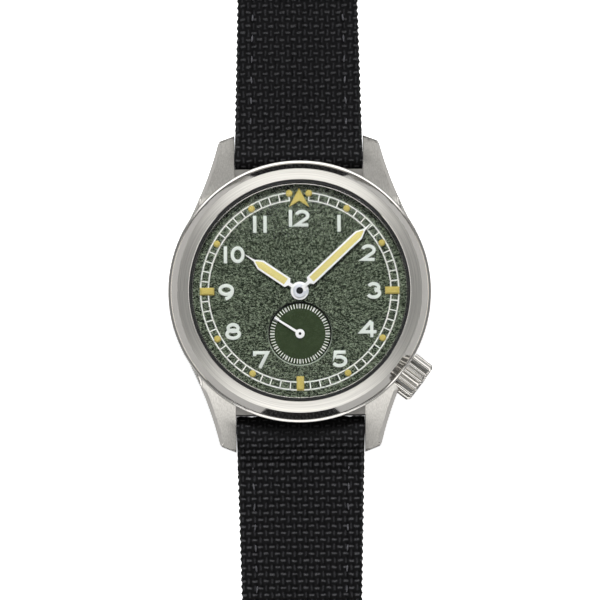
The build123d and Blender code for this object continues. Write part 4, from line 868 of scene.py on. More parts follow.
def fluted_knob(steps: int = 384, bore_steps: int = 48, blend: float = 0.25) -> Recipe:
    """The recipe for a fluted knob with a chamfered end and a bore, upright on the origin.

    Args:
        steps: How many faces go round it.
        bore_steps: How many faces go round its bore.
        blend: How softly a flute runs into the round, as a share of its radius.

    Returns:
        The recipe.
    """
    lengths = ("Radius", "Length", "Flute Radius", "Chamfer", "Bore Radius", "Bore Depth")
    recipe = Recipe("fluted_knob", lengths, ("Flutes",))
    given, add, step = recipe.given, recipe.add, recipe.math
    radius, flute = given["Radius"], given["Flute Radius"]
    chamfer, depth = given["Chamfer"], given["Bore Depth"]
    ring = add("GeometryNodeMeshCircle", {"Vertices": steps, "Radius": radius}).outputs["Mesh"]
    turn = step("MULTIPLY", add("GeometryNodeInputIndex").outputs["Index"], math.tau / steps)
    away = step("PINGPONG", turn, step("DIVIDE", step("DIVIDE", math.tau, given["Flutes"]), 2.0))
    aside = step("MULTIPLY", radius, step("SINE", away))
    room = step("SUBTRACT", step("POWER", flute, 2.0), step("POWER", aside, 2.0))
    cut = step("SQRT", step("MAXIMUM", room, 0.0))
    groove = step("SUBTRACT", step("MULTIPLY", radius, step("COSINE", away)), cut)
    inputs = {0: groove, 1: radius, 2: step("MULTIPLY", flute, blend)}
    reach = add("ShaderNodeMath", inputs, operation="SMOOTH_MIN").outputs["Value"]
    across, along = step("MULTIPLY", reach, step("COSINE", turn)), step("MULTIPLY", reach, step("SINE", turn))
    spot = recipe.vector(X=across, Y=along)
    edge = add("GeometryNodeSetPosition", {"Geometry": ring, "Position": spot}).outputs["Geometry"]
    outer = add("GeometryNodeMeshToCurve", {"Mesh": edge}).outputs["Curve"]
    bore = add("GeometryNodeCurvePrimitiveCircle", {"Resolution": bore_steps, "Radius": given["Bore Radius"]})
    both = recipe.join(outer, bore.outputs["Curve"])
    hollow = add("GeometryNodeFillCurve", {"Curve": both}).outputs["Mesh"]
    whole = add("GeometryNodeFillCurve", {"Curve": outer}, mode="NGONS").outputs["Mesh"]
    straight = step("SUBTRACT", given["Length"], chamfer)
    barrel = recipe.solid(hollow, 0.0, depth)
    cap = recipe.solid(whole, depth, step("SUBTRACT", straight, depth))
    share = step("DIVIDE", step("SUBTRACT", radius, chamfer), radius)
    end = recipe.solid(whole, straight, chamfer, share)
    recipe.end(recipe.join(barrel, cap, end))
    return recipe


def row_of_stitches(lean: float = 0.16) -> Recipe:
    """The recipe for stitches along a path, each leaning by a random angle up to the one given in radians."""
    recipe = Recipe("row_of_stitches", ("Pitch", "Length", "Thread"), ("Seed",))
    given, add = recipe.given, recipe.add
    path = add("GeometryNodeMeshToCurve", {"Mesh": given["Geometry"]}).outputs["Curve"]
    inputs = {"Curve": path, "Length": given["Pitch"]}
    spaced = add("GeometryNodeCurveToPoints", inputs, mode="LENGTH").outputs
    ball = add("GeometryNodeMeshUVSphere", {"Segments": 8, "Rings": 7, "Radius": 0.5}).outputs["Mesh"]
    size = recipe.vector(X=given["Thread"], Y=given["Thread"], Z=given["Length"])
    stitch = add("GeometryNodeTransform", {"Geometry": ball, "Scale": size}).outputs["Geometry"]
    inputs = {0: (-lean, -lean, 0.0), 1: (lean, lean, 0.0), "Seed": given["Seed"]}
    drawn = add("FunctionNodeRandomValue", inputs, data_type="FLOAT_VECTOR").outputs[0]
    leaned = add("FunctionNodeEulerToRotation", {0: drawn}).outputs[0]
    inputs = {"Rotation": spaced["Rotation"], "Rotate By": leaned}
    turned = add("FunctionNodeRotateRotation", inputs, rotation_space="LOCAL").outputs[0]
    inputs = {"Points": spaced["Points"], "Instance": stitch, "Rotation": turned}
    recipe.end(add("GeometryNodeInstanceOnPoints", inputs).outputs["Instances"])
    return recipe


# Studio


@dataclass
class Studio:
    """Camera, lamps, world and the pale ground."""

    picture_width: float = 84.27 * MM
    distance: float = 700 * MM
    sensor: float = 36.0
    tilt: float = 4.0
    roll: float = -0.44
    aim: Spot = (0.035 * MM, -1.26 * MM, 7.4 * MM)
    cove_radius: float = 4.0
    cove_height: float = 1.0
    cove_corner: float = 0.6
    cove_segments: int = 64

    def build(self) -> None:
        """Makes it all."""
        self.make_camera()
        self.make_ground()
        self.make_lamps()
        self.make_world()

    def make_camera(self) -> None:
        """Puts the camera over the watch, leaning a little towards 6 o'clock."""
        camera = bpy.data.objects.new("camera", bpy.data.cameras.new("camera"))
        camera.data.sensor_width = self.sensor
        camera.data.lens = self.sensor * self.distance / self.picture_width
        camera.data.clip_start, camera.data.clip_end = 10 * MM, 20.0
        lean = math.radians(self.tilt)
        back = Vector((0.0, -math.sin(lean), math.cos(lean)))
        camera.rotation_mode = "QUATERNION"
        camera.location = Vector(self.aim) + back * self.distance
        turn = Matrix.Rotation(lean, 3, "X") @ Matrix.Rotation(math.radians(self.roll), 3, "Z")
        camera.rotation_quaternion = turn.to_quaternion()
        bpy.context.scene.collection.objects.link(camera)
        bpy.context.scene.camera = camera
        bpy.context.scene.view_settings.view_transform = "Standard"

    def make_ground(self) -> None:
        """Makes a round white floor that curves up into a low wall."""
        corner = self.cove_corner
        bend = arc((self.cove_radius - corner, corner), (corner, corner), -90, 0, 12)
        outline = [(0.0, 0.0)] + bend + [(self.cove_radius, self.cove_height)]
        mesh = lathe("ground", outline, self.cove_segments, closed=False)
        if mesh.polygons[0].normal.z < 0:
            mesh.flip_normals()
        mesh.shade_smooth()
        mesh.materials.append(self.ground_paper())
        ground = bpy.data.objects.new("ground", mesh)
        bpy.context.scene.collection.objects.link(ground)

    def ground_paper(self) -> bpy.types.Material:
        """White backdrop paper, which looks white by itself and still takes the watch's shadow."""
        made = bpy.data.materials.new("backdrop_paper")
        made.use_nodes = True
        tree = made.node_tree
        tree.nodes.clear()
        path = add_node(tree, "ShaderNodeLightPath").outputs
        seen = calc(tree, "MAXIMUM", path["Is Camera Ray"], path["Is Transmission Ray"])
        paper = add_node(tree, "ShaderNodeBsdfDiffuse", {"Color": linear("#e0e0e0")}).outputs[0]
        inputs = {"Color": linear("#ffffff"), "Strength": seen}
        light = add_node(tree, "ShaderNodeEmission", inputs).outputs[0]
        both = add_node(tree, "ShaderNodeAddShader", {0: paper, 1: light}).outputs[0]
        under = add_node(tree, "ShaderNodeNewGeometry").outputs["Backfacing"]
        clear = add_node(tree, "ShaderNodeBsdfTransparent").outputs[0]
        mixed = add_node(tree, "ShaderNodeMixShader", {0: under, 1: both, 2: clear}).outputs[0]
        add_node(tree, "ShaderNodeOutputMaterial", {"Surface": mixed})
        return made

    def lamp(
        self, name: str, lean: float, size: Point, brightness: float, distance: float = 1.2, turn: float = 0.0
    ) -> Piece:
        """Hangs a soft box that faces the watch.

        Args:
            name: Its name.
            lean: How far it leans from overhead towards 12 o'clock, in degrees.
            size: Its width and length.
            brightness: What a mirror shows of it, where 1 is white.
            distance: How far it hangs from the watch.
            turn: How far it is turned from 12 o'clock towards 9, in degrees.

        Returns:
            The lamp.
        """
        light = bpy.data.lights.new(name, "AREA")
        light.shape, light.size, light.size_y = "RECTANGLE", size[0], size[1]
        light.energy = brightness * size[0] * size[1] * math.pi
        lamp = bpy.data.objects.new(name, light)
        way = Matrix.Rotation(math.radians(turn), 3, "Z") @ Matrix.Rotation(-math.radians(lean), 3, "X")
        lamp.location = way @ Vector((0.0, 0.0, distance))
        lamp.rotation_euler = way.to_euler()
        lamp.visible_camera = False
        bpy.context.scene.collection.objects.link(lamp)
        return lamp

    def make_lamps(self) -> None:
        """Hangs soft boxes for the metal, and a small key light and a dim panel for what is dull."""
        mirrored = [
            self.lamp("upper_soft_box", 27.0, (0.82, 0.5), 1.95),
            self.lamp("far_soft_box", 60.0, (0.82, 0.42), 0.8),
            self.lamp("lower_soft_box", -27.0, (1.05, 0.66), 1.6),
            self.lamp("near_soft_box", -60.0, (0.82, 0.42), 0.7),
            self.lamp("left_soft_box", 76.0, (1.9, 0.42), 1.5, turn=90.0),
            self.lamp("right_soft_box", 76.0, (1.9, 0.42), 1.5, turn=-90.0),
        ]
        for lamp in mirrored:
            lamp.visible_diffuse = False
        self.lamp("key_light", 31.0, (0.14, 0.14), 205.0, 1.15).visible_glossy = False
        self.lamp("fill_panel", 0.0, (4.0, 4.0), 0.1, 2.0).visible_glossy = False

    def make_world(self) -> None:
        """Fills the room with grey that only what is glossy shows."""
        world = bpy.data.worlds.new("room")
        world.use_nodes = True
        room = world.node_tree.nodes["Background"]
        room.inputs["Color"].default_value = linear("#8f9091")
        room.inputs["Strength"].default_value = 1.0
        bpy.context.scene.world = world
        world.cycles_visibility.diffuse = False


# Case


@dataclass
class Case:
    """Case middle, bezel, crystal, back and crown."""

    face_width: float = 1.65 * MM
    flank_run: float = 1.0 * MM
    flank_height: float = 1.6 * MM
    neck_wall: float = 0.9 * MM
    seat_gap: float = 0.02 * MM
    inner_chamfer: float = 0.12 * MM
    edge_rounding: float = 0.05 * MM
    crystal_bevel: float = 0.18 * MM
    crown_length: float = 3.1 * MM
    crown_flutes: int = 16
    crown_flute_radius: float = 0.38 * MM
    crown_chamfer: float = 0.4 * MM
    crown_bore_radius: float = 1.45 * MM
    crown_bore_depth: float = 2.2 * MM
    rim_rounding: float = 0.16 * MM
    lug_bevel: float = 0.55 * MM
    sharp_below: float = 2.0 * MM
    lug_bevel_rise: float = 0.1 * MM
    pocket_roof: float = 6.3 * MM
    lug_root: float = 11.0 * MM
    lug_reach: float = 18.9 * MM
    lug_inside: float = 10.0 * MM
    upright: float = 0.2
    facing: float = 0.75
    middle_rounding: float = 0.07 * MM
    middle_angle: float = 38.0
    rim_spare: float = 0.02 * MM
    wall_inset: float = 1.5 * MM
    wall_spare: float = 0.1 * MM
    gap_spare: float = 0.15 * MM
    seat_level: float = 0.95
    brushed_level: float = 0.82
    face_level: float = 0.9
    gap_depth: float = 1.22 * MM
    under_rim: float = 0.26 * MM
    under_dome: float = 0.95 * MM
    segments: int = 256

    def build(self) -> None:
        """Makes every piece of the case."""
        self.make_middle()
        self.make_bezel()
        self.make_crystal()
        self.make_crown()
        dress(SEAL, "crystal_gasket", "case_back_gasket", "crown_gasket")
        dress(BACK_STEEL, "case_back")
        dress(POLISHED, "crown_tube", "winding_stem")

    def make_middle(self) -> None:
        """Rounds the case middle's edges, brushes what faces up and polishes the rest. The crystal's seat is
        painted dark as shade, and the walls between the lugs get darker steel, partly as painted shade.
        """
        mesh = copied("mid_case")
        self.round_rim(unfaceted(mesh))
        self.bevel_lugs(mesh)
        strap, rim, wall = high("short_strap_cover").x, high("bezel").x, high("bezel").x - self.wall_inset

        def spared(point: Vector) -> bool:
            """Whether an edge stays sharp: near the ground, or on the wall between the lugs."""
            on_wall = abs(point.x) < strap + self.wall_spare and math.hypot(point.x, point.y) > wall
            return point.z < self.sharp_below or on_wall

        mesh = bevelled(mesh, self.middle_rounding, angle=self.middle_angle, spared=spared)
        for finish in (POLISHED, CASE_TOP, SEAL, MILLED_SHADED):
            mesh.materials.append(finish.material())
        seat, dial, between = high("crystal").x + self.under_rim, high("dial").z, strap + self.gap_spare
        for polygon in mesh.polygons:
            middle, level = polygon.center, polygon.normal.z
            reach, aside = math.hypot(middle.x, middle.y), abs(middle.x)
            on_lug = reach > rim and aside > between and abs(middle.y) > rim / 2
            # The steel seat under the crystal takes the black seal as painted shade.
            seat_painted_dark = middle.z > dial and reach < seat and level > self.seat_level
            # The walls between the lugs take the darker steel, partly as painted shade.
            in_shaded_gap = reach > rim - self.gap_depth and aside < between and middle.z < self.pocket_roof
            brushed = int(on_lug and level > self.brushed_level)
            polygon.material_index = 2 if seat_painted_dark else 3 if in_shaded_gap else brushed
        place("case_middle", mesh, body_of("mid_case"), CASE_TOP, ["mid_case"])

    def bevel_lugs(self, mesh: Mesh) -> None:
        """Cuts the polished bevel along the lugs' outer edges."""
        with edited(mesh) as work:
            edges = [edge for edge in work.edges if self.on_lug_edge(edge)]
            settings = {"offset": self.lug_bevel, "segments": 1, "affect": "EDGES", "clamp_overlap": False}
            cut = bmesh.ops.bevel(work, geom=edges, **settings)
            for vertex in {v for face in cut["faces"] for v in face.verts}:
                normals = [face.normal for face in vertex.link_faces]
                aside = any(abs(n.z) < self.upright and abs(n.x) > self.facing for n in normals)
                if aside and all(n.z < self.face_level for n in normals):
                    vertex.co.z += self.lug_bevel_rise
        LOG.info("bevelled %d lug edges", len(edges))

    def on_lug_edge(self, edge: bmesh.types.BMEdge) -> bool:
        """Whether an edge runs between a lug's upper face and its outer side."""
        normals = sorted((face.normal for face in edge.link_faces), key=lambda n: n.z)
        middle = edge_middle(edge)
        if len(normals) != 2 or abs(middle.y) <= self.lug_root or math.hypot(*middle.xy) <= self.lug_reach:
            return False
        outwards = normals[0].x * math.copysign(1.0, middle.x)
        corner = outwards > self.facing and abs(normals[0].z) < self.upright and normals[1].z > self.facing
        return corner and abs(middle.x) > self.lug_inside

    def round_rim(self, mesh: Mesh) -> None:
        """Rounds the case's upper edge, which catches the light all the way round."""
        foot, radius = low("bezel").z, low("mid_case").x

        def on_rim(point: Vector) -> bool:
            """Whether a point lies on the edge."""
            aside = abs(math.hypot(point.x, point.y) + radius)
            return abs(point.z - foot) < self.rim_spare and aside < self.rim_spare

        with edited(mesh) as work:
            edges = [e for e in work.edges if all(on_rim(v.co) for v in e.verts)]
            settings = {"offset": self.rim_rounding, "segments": 3, "profile": 0.5, "affect": "EDGES"}
            bmesh.ops.bevel(work, geom=edges, **settings)

    def make_crown(self) -> None:
        """Grows the crown at the origin and sets it on the stem's axis."""
        low_corner, high_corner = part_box("crown")
        middle = (low_corner + high_corner) / 2
        out = Vector((middle.x, middle.y, 0.0)).normalized()
        reach = Vector((middle.x, middle.y, 0.0)).length
        values = {
            "Radius": (high_corner.z - low_corner.z) / 2,
            "Length": self.crown_length,
            "Flutes": self.crown_flutes,
            "Flute Radius": self.crown_flute_radius,
            "Chamfer": self.crown_chamfer,
            "Bore Radius": self.crown_bore_radius,
            "Bore Depth": self.crown_bore_depth,
            "Material": CROWN_STEEL.material(),
        }
        mesh = fluted_knob().grown("crown_seed", values)
        turn = out.to_track_quat("Z", "Y").to_matrix().to_4x4()
        start = out * (reach - self.crown_length / 2) + Vector((0.0, 0.0, middle.z))
        mesh.transform(Matrix.Translation(start) @ turn)
        place("fluted_crown", smoothed(tidied(mesh), 38), body_of("crown"), CROWN_STEEL, ["crown"])

    def make_bezel(self) -> None:
        """Turns the bezel: a brushed face over a polished flank."""
        base, foot, crest = high("bezel").x, low("bezel").z, high("bezel").z
        top = base - self.flank_run
        inner = top - self.face_width
        shoulder = foot + self.flank_height
        grip = inner + self.neck_wall + self.seat_gap
        seat = low("crystal").z + self.seat_gap
        round_ = self.edge_rounding
        slope = (crest - shoulder) / (self.face_width - self.inner_chamfer)
        outline = [
            (grip, foot),
            (base - round_, foot),
            (base - 0.3 * round_, foot + 0.3 * round_),
            (base - round_ * 0.62, foot + round_),
            (top + round_ * 0.62, shoulder - round_),
            (top + round_ * 0.2, shoulder - round_ * 0.2),
            (top - round_, shoulder + round_ * slope),
            (inner + self.inner_chamfer + round_, crest - round_ * slope),
            (inner + self.inner_chamfer, crest - round_ * 0.15),
            (inner, crest - self.inner_chamfer),
            (inner, seat),
            (grip, seat),
        ]
        mesh = smoothed(lathe("bezel_ring", outline, self.segments), 24)
        mesh.materials.append(POLISHED.material())
        mesh.materials.append(BEZEL_FACE.material())
        for polygon in mesh.polygons:
            polygon.material_index = int(polygon.normal.z > self.face_level and polygon.center.z > shoulder)
        place("turned_bezel", mesh, body_of("bezel"), BEZEL_FACE, ["bezel"])

    def make_crystal(self) -> None:
        """Turns the crystal: a dome with a bevelled edge, hollow below."""
        radius, foot, apex = high("crystal").x, low("crystal").z, high("crystal").z
        side = high("crystal_gasket").z + self.crystal_bevel
        inner = radius - self.under_rim
        dome = self.dome(radius - self.crystal_bevel, side, apex)
        hollow = self.dome(inner, foot, foot + self.under_dome)
        outline = dome + [(radius, side - self.crystal_bevel), (radius, foot)] + hollow[::-1]
        mesh = smoothed(lathe("domed_crystal", outline, self.segments // 2))
        place("domed_crystal", mesh, body_of("crystal"), SAPPHIRE, ["crystal"])

    def dome(self, radius: float, foot: float, apex: float) -> list[Point]:
        """Radius and height along a dome's arc, from its apex to its foot."""
        rise = apex - foot
        sphere = (radius**2 + rise**2) / (2 * rise)
        reaches = [radius * i / 20 for i in range(21)]
        return [(r, apex - sphere + math.sqrt(sphere**2 - r**2)) for r in reaches]


# Dial


class Digit(Enum):
    """Middle lines of each figure's strokes, in millimetres from its centre. A closed stroke ends in True."""

    ZERO = ((oval((0, 0), (0.745, 0.95), 40), True),)
    ONE = (([(0, -1.19), (0, 1.19)], False),)
    TWO = ((arc((0.0, 0.36), (0.8, 0.59), 165, -38) + [(-0.78, -0.95), (0.88, -0.95)], False),)
    THREE = (
        (arc((-0.03, 0.44), (0.7, 0.51), 158, -78), False),
        (arc((-0.03, -0.37), (0.82, 0.58), 84, -160), False),
    )
    FOUR = (([(0.42, 1.1), (-0.98, -0.42), (1.14, -0.42)], False), ([(0.47, -1.19), (0.47, 1.0)], False))
    FIVE = (
        ([(0.82, 0.95), (-0.62, 0.95), (-0.72, 0.06)] + arc((-0.06, -0.33), (0.88, 0.62), 128, -158), False),
    )
    SEVEN = (([(-0.93, 0.48), (-0.93, 0.95), (0.86, 0.95), (-0.22, -1.19)], False),)
    EIGHT = ((oval((0, 0.47), (0.68, 0.48), 32), True), (oval((0, -0.39), (0.88, 0.56), 36), True))
    NINE = ((oval((0, 0.34), (0.86, 0.61), 36), True), (arc((-0.42, 0.24), (1.28, 1.19), 0, -76, 20), False))


@dataclass
class Dial:
    """The grained dial, its scales, figures and luminous markers."""

    grain_pitch: float = 0.14 * MM
    grain_depth: float = 0.07 * MM
    row_share: float = 0.866
    grain_squeeze: float = 0.6
    grain_size: float = 0.42 * MM
    grain_inset: float = 0.05 * MM
    grain_lap: float = 0.06 * MM
    skin_sunk: float = 0.02 * MM
    centre_hole: float = 0.85 * MM
    seconds_radius: float = 4.55 * MM
    seconds_centre: Point = (0.0, -6.0 * MM)
    shadow_ring_width: float = 0.31 * MM
    step_run: float = 0.1 * MM
    print_height: float = 0.05 * MM
    track_inner: float = 12.82 * MM
    track_outer: float = 13.92 * MM
    track_line: float = 0.19 * MM
    track_gap: float = 6.0
    track_runs: int = 174
    tick_line: float = 0.17 * MM
    tick_sunk: float = 0.008 * MM
    seconds_ticks: Point = (3.58 * MM, 4.2 * MM)
    seconds_strokes: tuple[tuple[int, float], ...] = ((60, 0.11 * MM), (12, 0.26 * MM))
    seconds_print: float = 0.03 * MM
    seconds_print_middle: float = 0.014 * MM
    figure_stroke: float = 0.48 * MM
    figure_height: float = 0.16 * MM
    figure_rounding: float = 0.05 * MM
    marker_height: float = 0.38 * MM
    dot_radius: float = 0.48 * MM
    dot_reach: float = 13.38 * MM
    pair_half: float = 1.38 * MM
    pair_y: float = 13.75 * MM
    baton_half: float = 0.525 * MM
    baton_bevel: float = 0.22 * MM
    baton_reach: Point = (12.0 * MM, 14.0 * MM)
    arrow_tip: float = 14.5 * MM
    arrow_tail: float = 11.83 * MM
    arrow_notch: float = 12.63 * MM
    arrow_half: float = 1.45 * MM
    arrow_clear: float = 0.6 * MM
    figures: dict[str, Point] = field(
        default_factory=lambda: {
            "12": (0.0, 10.25),
            "1": (5.6, 9.5),
            "2": (9.68, 5.32),
            "3": (10.42, 0.0),
            "4": (9.6, -5.4),
            "5": (5.56, -9.6),
            "7": (-5.45, -9.6),
            "8": (-9.38, -5.62),
            "9": (-10.32, -0.12),
            "10": (-9.1, 5.17),
            "11": (-5.52, 9.44),
        }
    )

    def build(self) -> None:
        """Makes everything that shows on the dial."""
        self.top = high("dial").z
        dress(DIAL_LACQUER, "dial")
        dress(SECONDS_LACQUER, "seconds_dial")
        self.make_grain()
        self.make_step()
        self.make_track()
        self.make_seconds_scale()
        self.make_figures()
        self.make_markers()

    def in_holes(self, point: Point, margin: float) -> bool:
        """Whether a point lies in the centre's hole or in the seconds dial."""
        apart = math.dist(point, self.seconds_centre)
        return apart < self.seconds_radius + margin or math.hypot(*point) < self.centre_hole + margin

    def make_grain(self) -> None:
        """Lays the crinkled skin over the dial, as real relief."""
        radius = high("dial").x - self.grain_inset
        pitch = self.grain_pitch * 1
        rows = int(radius / (pitch * self.row_share)) + 1
        grid = []
        for j in range(-rows, rows + 1):
            y = j * pitch * self.row_share
            for i in range(-int(radius / pitch) - 1, int(radius / pitch) + 2):
                x = (i + (j % 2) / 2) * pitch
                if math.hypot(x, y) < radius - pitch and not self.in_holes((x, y), pitch):
                    grid.append((x, y))
        lap, bore = self.seconds_radius + self.grain_lap, self.centre_hole
        holes = [oval(self.seconds_centre, (lap, lap), 144), oval((0, 0), (bore, bore), 36)]
        mesh = self.skin(oval((0, 0), (radius, radius), 360), holes, grid)
        place("crinkled_dial_face", mesh, body_of("dial"), DIAL_LACQUER)

    def skin(self, rim: list[Point], holes: list[list[Point]], grid: list[Point]) -> Mesh:
        """A sheet with real relief above a flat floor, closed round its rim and its holes."""
        corners, edges = [], []
        for loop in [rim] + holes:
            first = len(corners)
            corners += [Vector(p) for p in loop]
            edges += [(first + i, first + (i + 1) % len(loop)) for i in range(len(loop))]
        bound = len(corners)
        corners += [Vector(p) for p in grid]
        flat, _, triangles, *_ = delaunay_2d_cdt(corners, edges, [], 0, 1e-9)
        kept = []
        for triangle in triangles:
            middle = sum((flat[i] for i in triangle), Vector((0.0, 0.0))) / 3
            if middle.length < rim[0][0] and not self.in_holes(tuple(middle), -0.001 * MM):
                kept.append(triangle)
        floor = self.top - self.skin_sunk
        points = [(p.x, p.y, self.top + (self.relief(p) if i >= bound else 0.0)) for i, p in enumerate(flat)]
        lower, count = {}, len(points)
        pairs = {(t[i], t[(i + 1) % 3]) for t in kept for i in range(3)}
        faces = [tuple(t) for t in kept]
        sides = [(a, b) for a, b in pairs if (b, a) not in pairs]
        for a, b in sides:
            for i in (a, b):
                if i not in lower:
                    lower[i] = count
                    points.append((flat[i].x, flat[i].y, floor))
                    count += 1
            faces.append((b, a, lower[a], lower[b]))
        mesh = bpy.data.meshes.new("dial_skin")
        mesh.from_pydata(points, [], faces)
        with edited(mesh) as work:
            bmesh.ops.delete(work, geom=[v for v in work.verts if not v.link_faces], context="VERTS")
            open_edges = [e for e in work.edges if len(e.link_faces) == 1]
            bmesh.ops.triangle_fill(work, edges=open_edges, use_beauty=False)
            bmesh.ops.recalc_face_normals(work, faces=work.faces)
        return smoothed(mesh, 50)

    def relief(self, point: Vector) -> float:
        """Height of the crinkle at a point: two scales of ridged noise."""
        spot = Vector((point.x * self.grain_squeeze, point.y, 0.0)) / self.grain_size
        coarse = 1 - abs(noise.noise(spot)) * 1.6
        fine = noise.noise(spot * 2.3 + Vector((7.0, 3.0, 0.0)))
        return self.grain_depth * (0.35 * coarse + 0.45 * fine + 0.2)

    def make_step(self) -> None:
        """Turns the edge of the seconds dial: a flat ring painted dark as the step's shadow, and a pale face,
        painted lighter as a highlight, that leans to the light at 6.
        """
        floor, radius = high("seconds_dial").z, self.seconds_radius
        foot = floor + 0.006 * MM
        outline = [
            (radius - self.shadow_ring_width, floor - SUNK),
            (radius - self.shadow_ring_width, foot),
            (radius - self.step_run, foot),
            (radius, self.top - 0.005 * MM),
            (radius + SUNK, self.top - self.skin_sunk),
            (radius + SUNK, floor - SUNK),
        ]
        mesh = lathe("step", outline, 160, self.seconds_centre)
        for vertex in mesh.vertices:
            reach = math.dist(vertex.co.xy, self.seconds_centre)
            if abs(reach - radius + self.step_run) < 0.001 * MM:
                vertex.co.y += self.step_run
        mesh.materials.append(LIT_STEP_LACQUER.material())
        mesh.materials.append(SHADOW_RING_LACQUER.material())
        # The flat ring gets the painted shadow, and the slanted face gets the pale lacquer, whose lit side is
        # the painted highlight.
        for polygon in smoothed(mesh, 40).polygons:
            polygon.material_index = int(polygon.normal.z > 0.99)
        place("seconds_dial_step", mesh, body_of("dial"), LIT_STEP_LACQUER)

    def make_track(self) -> None:
        """Prints the minute track: two rings, open at 12, and a stroke for each minute."""
        gap, runs, rings = self.track_gap, self.track_runs, []
        for radius in (self.track_inner, self.track_outer):
            path = [clock(radius, gap + (360 - 2 * gap) * i / runs) for i in range(runs + 1)]
            rings += ribbon(path, self.track_line)
        mesh = raised("track", rings, self.top - SUNK, self.top + self.print_height)
        values = {
            "Count": 60,
            "Radius": (self.track_inner + self.track_outer) / 2,
            "Length": self.track_outer - self.track_inner + self.track_line,
            "Width": self.tick_line,
            "Height": self.print_height + self.tick_sunk,
            "Centre": (0.0, 0.0, self.top + self.print_height / 2 - self.tick_sunk / 2),
            "Material": PRINT.material(),
        }
        bars = RINGS.grown("minute_strokes", values)
        with edited(bars) as work:
            middles = {face: face.calc_center_median() for face in work.faces}
            under_arrow = [f for f, m in middles.items() if abs(m.x) < self.arrow_clear and m.y > 0]
            bmesh.ops.delete(work, geom=under_arrow, context="FACES")
        place("minute_track", joined("minute_track", [mesh, bars]), body_of("dial"), PRINT)

    def make_seconds_scale(self) -> None:
        """Prints the seconds dial's strokes, each fifth one broader."""
        inner, outer = self.seconds_ticks
        surface = high("seconds_dial").z
        meshes = []
        for count, width in self.seconds_strokes:
            values = {
                "Count": count,
                "Radius": (inner + outer) / 2,
                "Length": outer - inner,
                "Width": width,
                "Height": self.seconds_print,
                "Centre": (*self.seconds_centre, surface + self.seconds_print_middle),
                "Material": PRINT.material(),
            }
            meshes.append(RINGS.grown(f"strokes_{count}", values))
        place("seconds_scale", joined("seconds_scale", meshes), body_of("seconds_dial"), PRINT)

    def make_figures(self) -> None:
        """Raises the hour figures, which stand upright round the dial."""
        names = dict(zip("012345789", Digit))
        spacing = {"10": (-1.29, 0.42), "11": (-0.72, 0.72), "12": (-1.22, 0.42)}
        meshes = []
        for text, (x, y) in self.figures.items():
            for shift, sign in zip(spacing.get(text, (0.0,)), text):
                shapes = []
                for path, closed in names[sign].value:
                    moved = [((x + shift + p[0]) * MM, (y + p[1]) * MM) for p in path]
                    shapes += ribbon(moved, self.figure_stroke, closed)
                meshes.append(raised("figure", shapes, self.top - SUNK, self.top + self.figure_height))
        mesh = bevelled(joined("figures", meshes), self.figure_rounding)
        place("hour_figures", mesh, body_of("dial"), FIGURE)

    def make_markers(self) -> None:
        """Fills the raised markers: domed dots, a ridged arrow and bevelled batons."""
        meshes = [self.dot(clock(self.dot_reach, 30 * hour)) for hour in (1, 2, 4, 5, 7, 8, 10, 11)]
        meshes += [self.dot((side * self.pair_half, self.pair_y)) for side in (-1, 1)]
        meshes += [self.baton(30 * hour) for hour in (3, 6, 9)]
        meshes.append(self.arrow())
        mesh = joined("markers", meshes)
        place("luminous_markers", smoothed(mesh, 24), body_of("hour_markers"), MARKER_LUME, ["hour_markers"])

    def dot(self, middle: Point) -> Mesh:
        """A low dome on a short wall."""
        height = self.marker_height
        dome = arc((0.0, 0.45 * height), (self.dot_radius, 0.55 * height), 90, 0, 8)
        outline = [(0.0, self.top + height)] + [(r, self.top + z) for r, z in dome[1:]]
        outline += [(self.dot_radius, self.top - SUNK), (0.0, self.top - SUNK)]
        return lathe("dot", outline, 32, middle)

    def baton(self, angle: float) -> Mesh:
        """A block with bevelled upper edges."""
        half, inner, outer = self.baton_half, self.baton_reach[0], self.baton_reach[1]
        across, along = Vector(clock(1.0, angle + 90)), Vector(clock(1.0, angle))
        points = []
        levels = ((-SUNK, 0.0), (self.marker_height * 0.6, 0.0), (self.marker_height, self.baton_bevel))
        for height, inset in levels:
            near, far = inner + inset, outer - inset
            for side, reach in ((-1, near), (1, near), (1, far), (-1, far)):
                spot = across * side * (half - inset) + along * reach
                points.append((spot.x, spot.y, self.top + height))
        faces = [(0, 1, 2, 3), (8, 9, 10, 11)]
        for row in (0, 4):
            faces += [(row + i, row + (i + 1) % 4, row + 4 + (i + 1) % 4, row + 4 + i) for i in range(4)]
        return new_mesh("baton", points, faces)

    def arrow(self) -> Mesh:
        """The arrow at 12, with a ridge from its tip to its notch."""
        tip, tail, notch, half = self.arrow_tip, self.arrow_tail, self.arrow_notch, self.arrow_half
        outline = [(0.0, tip), (half, tail), (0.0, notch), (-half, tail)]
        wall, ridge = self.top + self.marker_height * 0.35, self.top + self.marker_height
        points = [(x, y, z) for z in (self.top - SUNK, wall) for x, y in outline]
        points += [(0.0, tip - 0.35 * MM, ridge), (0.0, notch + 0.12 * MM, ridge)]
        faces = [(0, 1, 2), (0, 2, 3)] + [(i, (i + 1) % 4, 4 + (i + 1) % 4, 4 + i) for i in range(4)]
        faces += [(4, 5, 8), (5, 9, 8), (5, 6, 9), (6, 7, 9), (7, 8, 9), (7, 4, 8)]
        return new_mesh("arrow", points, faces)


# Hands


